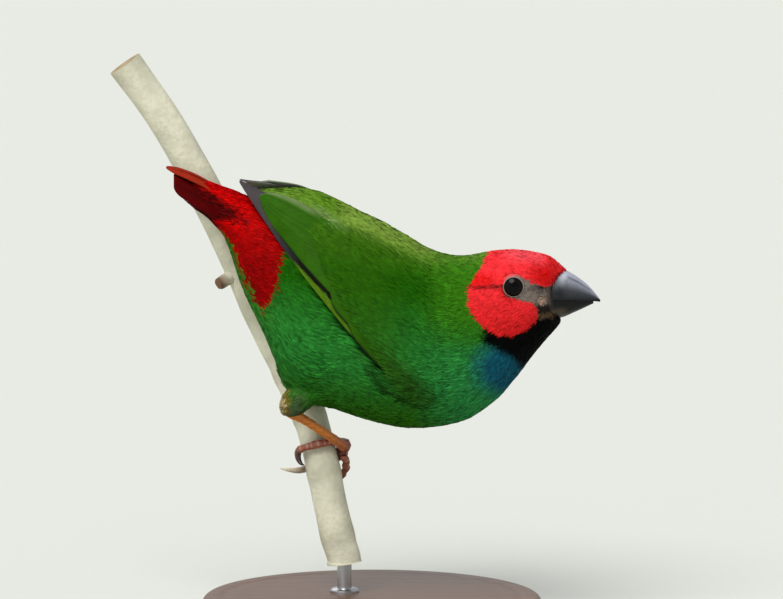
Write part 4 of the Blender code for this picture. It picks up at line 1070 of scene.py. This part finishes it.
def build_eyes():
    """Each eye is a ball by its two angles. Its lid is a ring with a flattened round section
    whose inner edge rests on the ball, wavy by small bead-like swellings."""
    up, turn = grid_of(np.linspace(0.02, math.pi - 0.02, 40), round_turn(64))
    ball = np.stack([np.sin(up) * np.cos(turn), np.cos(up), np.sin(up) * np.sin(turn)], axis=-1)
    around, section = grid_of(round_turn(LID_ROUND), round_turn(LID_SECTION))
    bead = 1 + 0.08 * np.cos(around * LID_BEADS)
    outer = np.where(np.cos(section) > 0, np.abs(np.cos(section)) ** 1.6, 0.0)
    radius = 2.04 + np.where(outer > 0, 0.62 * outer, 0.1 * bead * np.cos(section))
    rim_y = math.sqrt(EYE_RADIUS ** 2 - 2.0 ** 2)
    out = rim_y + 0.16 * bead * np.sin(section) - 1.1 * outer
    bare = linear("#7d776f")
    for side, name in ((-1, "eye_right"), (1, "eye_left")):
        centre = eye_centre(side)
        add_piece(name + "_ball", [closed_tube(centre + EYE_RADIUS * ball)], EYE, (name,))
        points = centre + np.stack([radius * np.cos(around), side * out, radius * np.sin(around)], axis=-1)
        faces = grid_faces(LID_ROUND + 1, LID_SECTION, closed=True, flip=side > 0) % radius.size
        share = clip01((radius - 2.07) / 0.12)[..., None]
        tint = bare + (0.8 * plumage(points) - bare) * share
        add_piece(name + "_lids", [(points.reshape(-1, 3), [faces])], LID, ("head",),
                  [tint.reshape(-1, 3)])


# Legs and feet


def stem_frame(height):
    """Middle of the stem at each height, and its unit directions to the right and behind."""
    line = smooth_line(STEM_LINE, 400)[::-1]
    height = np.asarray(height, dtype=float)
    middle, above = (np.stack([np.interp(height + step, line[:, 2], line[:, k]) for k in range(3)], axis=-1)
                     for step in (0.0, 0.5))
    axis = unit(above - middle)
    behind = unit(np.array([0.0, 1.0, 0.0]) - axis * axis[..., 1:2])
    return middle, np.cross(behind, axis), behind


def round_stem(height, away, turn):
    """Points at a height, a distance from the stem's middle and a turn from its right towards its back."""
    middle, right, behind = stem_frame(height)
    away, turn = np.asarray(away, dtype=float)[..., None], np.asarray(turn, dtype=float)[..., None]
    return middle + away * (np.cos(turn) * right + np.sin(turn) * behind)


def scuted(radii, count, depth):
    """Radii stepped like overlapping scutes: each swells slowly and then drops back."""
    share = np.linspace(0, count, len(radii)) % 1.0
    return radii * (1 + depth * (share ** 0.6 - 0.5))


LEG_UP = np.array([0.0, 0.3, 1.0])
THIGH_ROWS, SHANK_ROWS = 40, 140
TOE_ROWS, TOE_ROUND, TOE_SCUTES = 110, 24, 11
CLAW_ROWS, CLAW_ROUND = 40, 20


def build_thigh(side, thigh_line):
    """The thigh's skin and its feathers, down to the ankle joint's fringe."""
    path = smooth_line(thigh_line, THIGH_ROWS)
    share = np.linspace(0, 1, THIGH_ROWS)
    radii = np.interp(share, [0.0, 0.5, 1.0], THIGH_RADII)
    radii = radii * np.sqrt(1 - 0.96 * clip01((share - 0.72) / 0.28) ** 2)
    points, faces = closed_tube(tube_grid(path, np.maximum(radii - 0.6, 0.2), LEG_UP, 32))
    along = unit(np.gradient(path, axis=0))
    out = unit(np.cross(along, LEG_UP))
    over = np.cross(out, along)

    def paint(places):
        """The plumage, greyer under the thigh, tan towards the ankle and pale at its very end."""
        low = (places[..., 0] - thigh_line[0][0]) / (thigh_line[-1][0] - thigh_line[0][0])
        low = low + 0.05 * np.sin(places[..., 2] * 9.0)
        middle = np.interp(-places[..., 0], -path[:, 0], path[:, 2])
        under = clip01((middle + 1.4 - places[..., 2]) / 1.6)
        return blend_all(plumage(places, 0.1, 0.0), [
            ("thigh", 0.85 * clip01((low - 0.35) / 0.3) * (0.2 + 0.8 * under)),
            ("thigh_tan", 0.7 * clip01((low - 0.8) / 0.12)),
            ("down", 0.95 * clip01((low - 0.975) / 0.03))])

    def surface(place, angle):
        """The thigh's tube as a surface of place, 0 to 1 down the thigh, and turn."""
        row = np.asarray(place, dtype=float) * (THIGH_ROWS - 1)
        start = np.clip(row.astype(int), 0, THIGH_ROWS - 2)
        part = (row - start)[..., None]
        read = lambda values: values[start] * (1 - part) + values[start + 1] * part
        ring = np.cos(angle)[..., None] * read(out) + np.sin(angle)[..., None] * read(over)
        return read(path) + np.maximum(read(radii[:, None]), 0.25) * ring

    # The thigh's skin is its plumage at 0.7: painted shade deep between the feathers
    add_piece("skin_thigh_" + side, [(points, faces)], SKIN, ("thigh_" + side,),
              [0.7 * paint(points)])
    place, angle = spread_roots(surface, 0.05, 0.99, (0.0, 2 * math.pi), lambda s: 0.55)
    coat_piece("coat_thigh_" + side, surface, place, angle, (3.4 - 2.0 * place, 1.1, 6, 0.5, 0.4), 1,
               ("thigh_" + side,), paint,
               lambda p, a: np.stack([0.02 + 0.9 * p, 0.02 + 0.15 * a], -1))


def build_shank(side, shank_line):
    """The bare tarsus, scuted, orange and browner towards the foot."""
    radii = np.interp(np.linspace(0, 6, SHANK_ROWS), np.arange(7), SHANK_RADII)
    rings = tube_grid(smooth_line(shank_line, SHANK_ROWS), scuted(radii, 9, 0.14), LEG_UP, 28)
    orange, brown = linear("#c47224"), linear("#94502c")
    tint = orange + (brown - orange) * clip01(np.linspace(-1.3, 1.0, SHANK_ROWS))[:, None, None] + 0 * rings
    add_piece("tarsus_" + side, [closed_tube(rings)], SCUTE, ("shank_" + side,),
              [tube_tint(tint)])


def build_claw(line, outward, radius, length, bend, turn):
    """A claw from the end of a toe's line: it turns from the toe's heading to its bend at an even rate."""
    t = np.linspace(0, 1, CLAW_ROWS)
    heading = unit(line[-1] - line[-5])
    bend = unit(bend - heading * float(bend @ heading))
    step = heading * np.cos(turn * t)[:, None] + bend * np.sin(turn * t)[:, None]
    path = line[-1] - heading * 0.4 + np.cumsum(step * length / (CLAW_ROWS - 1), axis=0)
    radii = radius * np.interp(t, [0, 0.25, 0.5, 0.75, 1], [0.88, 0.86, 0.7, 0.46, 0.08])
    return closed_tube(tube_grid(path, radii, outward, CLAW_ROUND))


def build_foot(side, ball_z, toe_slope, wrap, free):
    """A padded ball and four toes wound round the stem. A free foot's claws stand off the stem,
    and the other foot's curl round it."""
    ball = round_stem(ball_z, STEM_RADIUS + BALL_REACH, -0.1)
    up, turn = grid_of(np.linspace(0.05, math.pi - 0.05, 24), round_turn(36))
    lumps = 1 + 0.04 * np.cos(7 * turn) * np.sin(up) ** 2 + 0.03 * np.cos(9 * up)
    sphere = np.stack([np.sin(up) * np.cos(turn), np.cos(up), np.sin(up) * np.sin(turn)], -1) * BALL_HALVES
    parts, claws, claw_tints = [closed_tube(ball + lumps[..., None] * sphere)], [], []
    red_brown, pale_scale = linear("#8a4c38"), linear("#b98f7c")
    tints = [red_brown + 0 * parts[0][0]]
    share = np.linspace(0, 1, TOE_ROWS)
    edge = ((share * TOE_SCUTES) % 1.0 > 0.7)[:, None, None]
    back = (np.sin(round_turn(TOE_ROUND) + 0.6) > 0.35)[None, :, None]
    along = np.repeat(np.linspace(0, 1, CLAW_ROWS), CLAW_ROUND)
    fade = clip01(1.3 * np.concatenate([along, [0, 1]]))[:, None]
    for (start, end, rise, fall, radius, length, bend, claw_turn), claw_paint in zip(TOES, CLAW_PAINTS):
        height = ball_z + toe_slope * (rise + (fall - rise) * share ** 0.7)
        away = STEM_RADIUS * 1.05 + 0.3 + radius * 1.15 + 0.25 * np.sin(share * math.pi * 4) ** 2
        line = round_stem(height, away, start + (wrap * end - start) * share)
        outward = unit(line - round_stem(height, 0.0, 0.0))
        joint = 1 + 0.08 * np.cos(share * math.pi * 6)
        close = np.clip(np.sqrt(1 - clip01((share - 0.97) / 0.031) ** 2), 0.05, 1)
        radii = scuted(radius * joint * (1.06 - 0.2 * share) * close, TOE_SCUTES, 0.16)
        parts.append(closed_tube(tube_grid(line, radii, outward, TOE_ROUND)))
        tints.append(tube_tint(red_brown + (pale_scale - red_brown) * (0.5 * edge * back)))
        if not free:
            length, bend, claw_turn = CURLED_CLAW
        claws.append(build_claw(line, outward[-1], radius, length, unit(bend or -outward[-1]), claw_turn))
        root, end_colour = (linear(value) for value in claw_paint)
        claw_tints.append(root + (end_colour - root) * fade)
    add_piece("toes_" + side, parts, SCUTE, ("foot_" + side,), tints)
    add_piece("claws_" + side, claws, CLAW, ("foot_" + side,), claw_tints)


# Perch and stand

STEM_ROWS, STEM_ROUND, STEM_NODES = 420, 64, 7
TWIG_ROWS, TWIG_ROUND = 40, 32
BASE_RIM = 1.6                  # radius of the base's upper rim
BEAD_RADIUS = 30.5              # of the shallow groove turned in its top
ROD_BEVEL = 0.3


def build_stem():
    """The stem is a tube whose radius swells at its nodes and ripples a little, with cut ends, and
    a short broken side twig."""
    share = np.linspace(0, 1, STEM_ROWS)[:, None]
    turn = round_turn(STEM_ROUND)[None, :]
    node = np.cos(share * STEM_NODES * math.pi) ** 8
    ripple = 0.012 * np.sin(3 * turn + 9 * share) + 0.006 * np.sin(7 * turn - 21 * share)
    line = smooth_line(STEM_LINE, STEM_ROWS)
    rings = tube_grid(line, STEM_RADIUS * (1 + 0.05 * node) * (1 + ripple), (0.0, 1.0, 0.0), STEM_ROUND)
    rim = np.array([0.0, 0.28, 0.55, 0.8, 0.94])[:, None, None]
    first = line[0] + (rings[0] - line[0]) * rim
    last = line[-1] + (rings[-1] - line[-1]) * rim[::-1]
    bark, scar, pith = linear("#cfccb4"), linear("#8d8a70"), linear("#b59d6f")
    tint = bark * (0.965 + 0.035 * np.sin(turn * 2 + share * 30))[..., None]
    tint = tint + (scar - tint) * (0.3 * node)[..., None]
    ends = np.broadcast_to(pith, (len(rim), STEM_ROUND, 3)) * (0.75 + 0.25 * np.cos(rim * 18))
    tint = np.concatenate([ends, tint, ends[::-1]]).reshape(-1, 3)
    along = np.linspace(0, 1, TWIG_ROWS)
    twig_line = [round_stem(STUB_HEIGHT, away, -2.6) for away in (1.0, 3.2, 4.6, 6.0, 6.4)]
    twig_radii = np.interp(along, [0, 0.4, 0.8, 0.95, 1.0], [1.75, 1.35, 1.2, 1.05, 0.6])[:, None]
    rough = 1 + 0.06 * np.sin(5 * turn[:, ::2] + 12 * along[:, None])
    twig = tube_grid(smooth_line(twig_line, TWIG_ROWS), twig_radii * rough, (0.0, 1.0, 0.0), TWIG_ROUND)
    wilt = clip01((np.concatenate([np.repeat(along, TWIG_ROUND), [0, 1]]) - 0.35) / 0.4)[:, None]
    rings = np.concatenate([first, rings, last])
    add_piece("stem", [closed_tube(rings), closed_tube(twig)], BARK, ("perch_stem",),
              [np.concatenate([tint, [pith, pith]]), bark + (linear("#6b4a33") - bark) * wilt], sharp=50)


def lathe(profile, around):
    """Rings from a profile of (radius, height) turned about the vertical axis."""
    turn = round_turn(around)
    radius, height = np.asarray(profile, dtype=float).T[..., None, None]
    ring = np.stack([np.cos(turn), np.sin(turn), 0 * turn], axis=-1)
    return radius * ring + height * np.array([0, 0, 1.0])


def build_stand():
    """A turned base with a rounded rim and a shallow groove, and a bevelled steel rod in a collar."""
    corner = np.linspace(0, math.pi / 2, 8)
    low = [(BASE_RADIUS - 1.0 + 1.0 * math.sin(a), 1.0 - math.cos(a)) for a in corner]
    high = [(BASE_RADIUS + BASE_RIM * (math.cos(a) - 1), BASE_HEIGHT + BASE_RIM * (math.sin(a) - 1))
            for a in corner]
    top = [(r, BASE_HEIGHT - 0.25 * math.exp(-((r - BEAD_RADIUS) / 0.5) ** 2))
           for r in np.linspace(33.0, 0.5, 40)]
    rings = lathe([(0.5, 0.0), (20.0, 0.0)] + low + high + top, 128)
    add_piece("base_board", [closed_tube(rings, flip=True)], WOOD, ("stand_base",))
    foot, head, inner = BASE_HEIGHT, STEM_LINE[-1][2], ROD_RADIUS - ROD_BEVEL
    rod = lathe([(0.2, foot), (inner, foot), (ROD_RADIUS, foot + ROD_BEVEL), (ROD_RADIUS, head - ROD_BEVEL),
                 (inner, head), (0.2, head)], 48)
    collar = lathe([(0.4, 5.0), (3.0, 5.0), (3.0, 5.5), (2.6, 5.9), (1.6, 6.1), (0.4, 6.1)], 48)
    place = np.array([STEM_LINE[-1][0], STEM_LINE[-1][1], 0.0])
    add_piece("support_rod", [closed_tube(rings + place, flip=True) for rings in (rod, collar)], STEEL,
              ("stand_rod",), sharp=40)


# Floor, light and camera

# Lamp, place, angular size in degrees and strength
LAMPS = [("key_light", (-170, -400, 620), 40, 3.3), ("fill_light", (-520, -520, 260), 60, 0.25),
         ("back_light", (-100, 420, 480), 40, 0.5)]
VIEW_MIDDLE = np.array([4.0, 0.0, 66.55])
VIEW_DISTANCE = 2500
FLOOR_HALF = 6000


def aim(obj, target):
    """Turns a lamp or the camera so that its -Z axis points at the target."""
    heading = Vector(target * MM) - obj.location
    obj.rotation_euler = heading.to_track_quat("-Z", "Y").to_euler()


def place_holder(name, data, place, target):
    """Puts a lamp or the camera at a place, turned to a target."""
    holder = bpy.data.objects.new(name, data)
    holder.location = np.array(place) * MM
    aim(holder, target)
    bpy.context.scene.collection.objects.link(holder)
    return holder


def build_stage():
    """A wide pale floor, soft lamps, and the camera at the photo's angle."""
    x, y = grid_of(np.linspace(-FLOOR_HALF, FLOOR_HALF, 13), np.linspace(-FLOOR_HALF, FLOOR_HALF, 13))
    grid = np.stack([x, y, np.full(x.shape, -0.05)], axis=-1)
    mesh = bpy.data.meshes.new("floor_card")
    mesh.from_pydata((grid.reshape(-1, 3) * MM).tolist(), [], grid_faces(13, 13).tolist())
    mesh.materials.append(FLOOR)
    floor = bpy.data.objects.new("floor_card", mesh)
    bpy.context.scene.collection.objects.link(floor)

    world = bpy.data.worlds.new("soft_room")
    world.use_nodes = True
    wire(world.node_tree, world.node_tree.nodes["Background"], {"Color": rgba("#f2f4f5"), "Strength": 0.55})
    bpy.context.scene.world = world
    bpy.context.scene.view_settings.view_transform = "Standard"
    for name, place, spread, strength in LAMPS:
        lamp = bpy.data.lights.new(name, "SUN")
        lamp.energy = strength
        lamp.angle = math.radians(spread)
        place_holder(name, lamp, place, np.array([4.0, 0.0, 66.0]))
    lens = bpy.data.cameras.new("photo_view")
    lens.sensor_width = 36.0
    lens.lens = 560.7
    lens.clip_start, lens.clip_end = 0.1, 20.0
    tilt = math.radians(8.0)
    place = VIEW_MIDDLE + VIEW_DISTANCE * np.array([0.0, -math.cos(tilt), math.sin(tilt)])
    bpy.context.scene.camera = place_holder("photo_view", lens, place, VIEW_MIDDLE)


EYE = eyeball()
BARK = stem_bark()
WOOD = turned_wood()
STEEL = drawn_steel()
FLOOR = floor_paper()

build_skin()
build_coat()
build_wing("wing_right", 1, 0.0)
build_wing("wing_left", -1, LEFT_WING_LEAN)
build_tail()
build_bill()
build_eyes()
for side, thigh, shank, foot in (("right", RIGHT_THIGH, RIGHT_SHANK, (33.9, 1, 1.0, True)),
                                 ("left", LEFT_THIGH, LEFT_SHANK, (45.4, -0.5, 0.58, False))):
    build_thigh(side, thigh)
    build_shank(side, shank)
    build_foot(side, *foot)
build_stem()
build_stand()
build_stage()
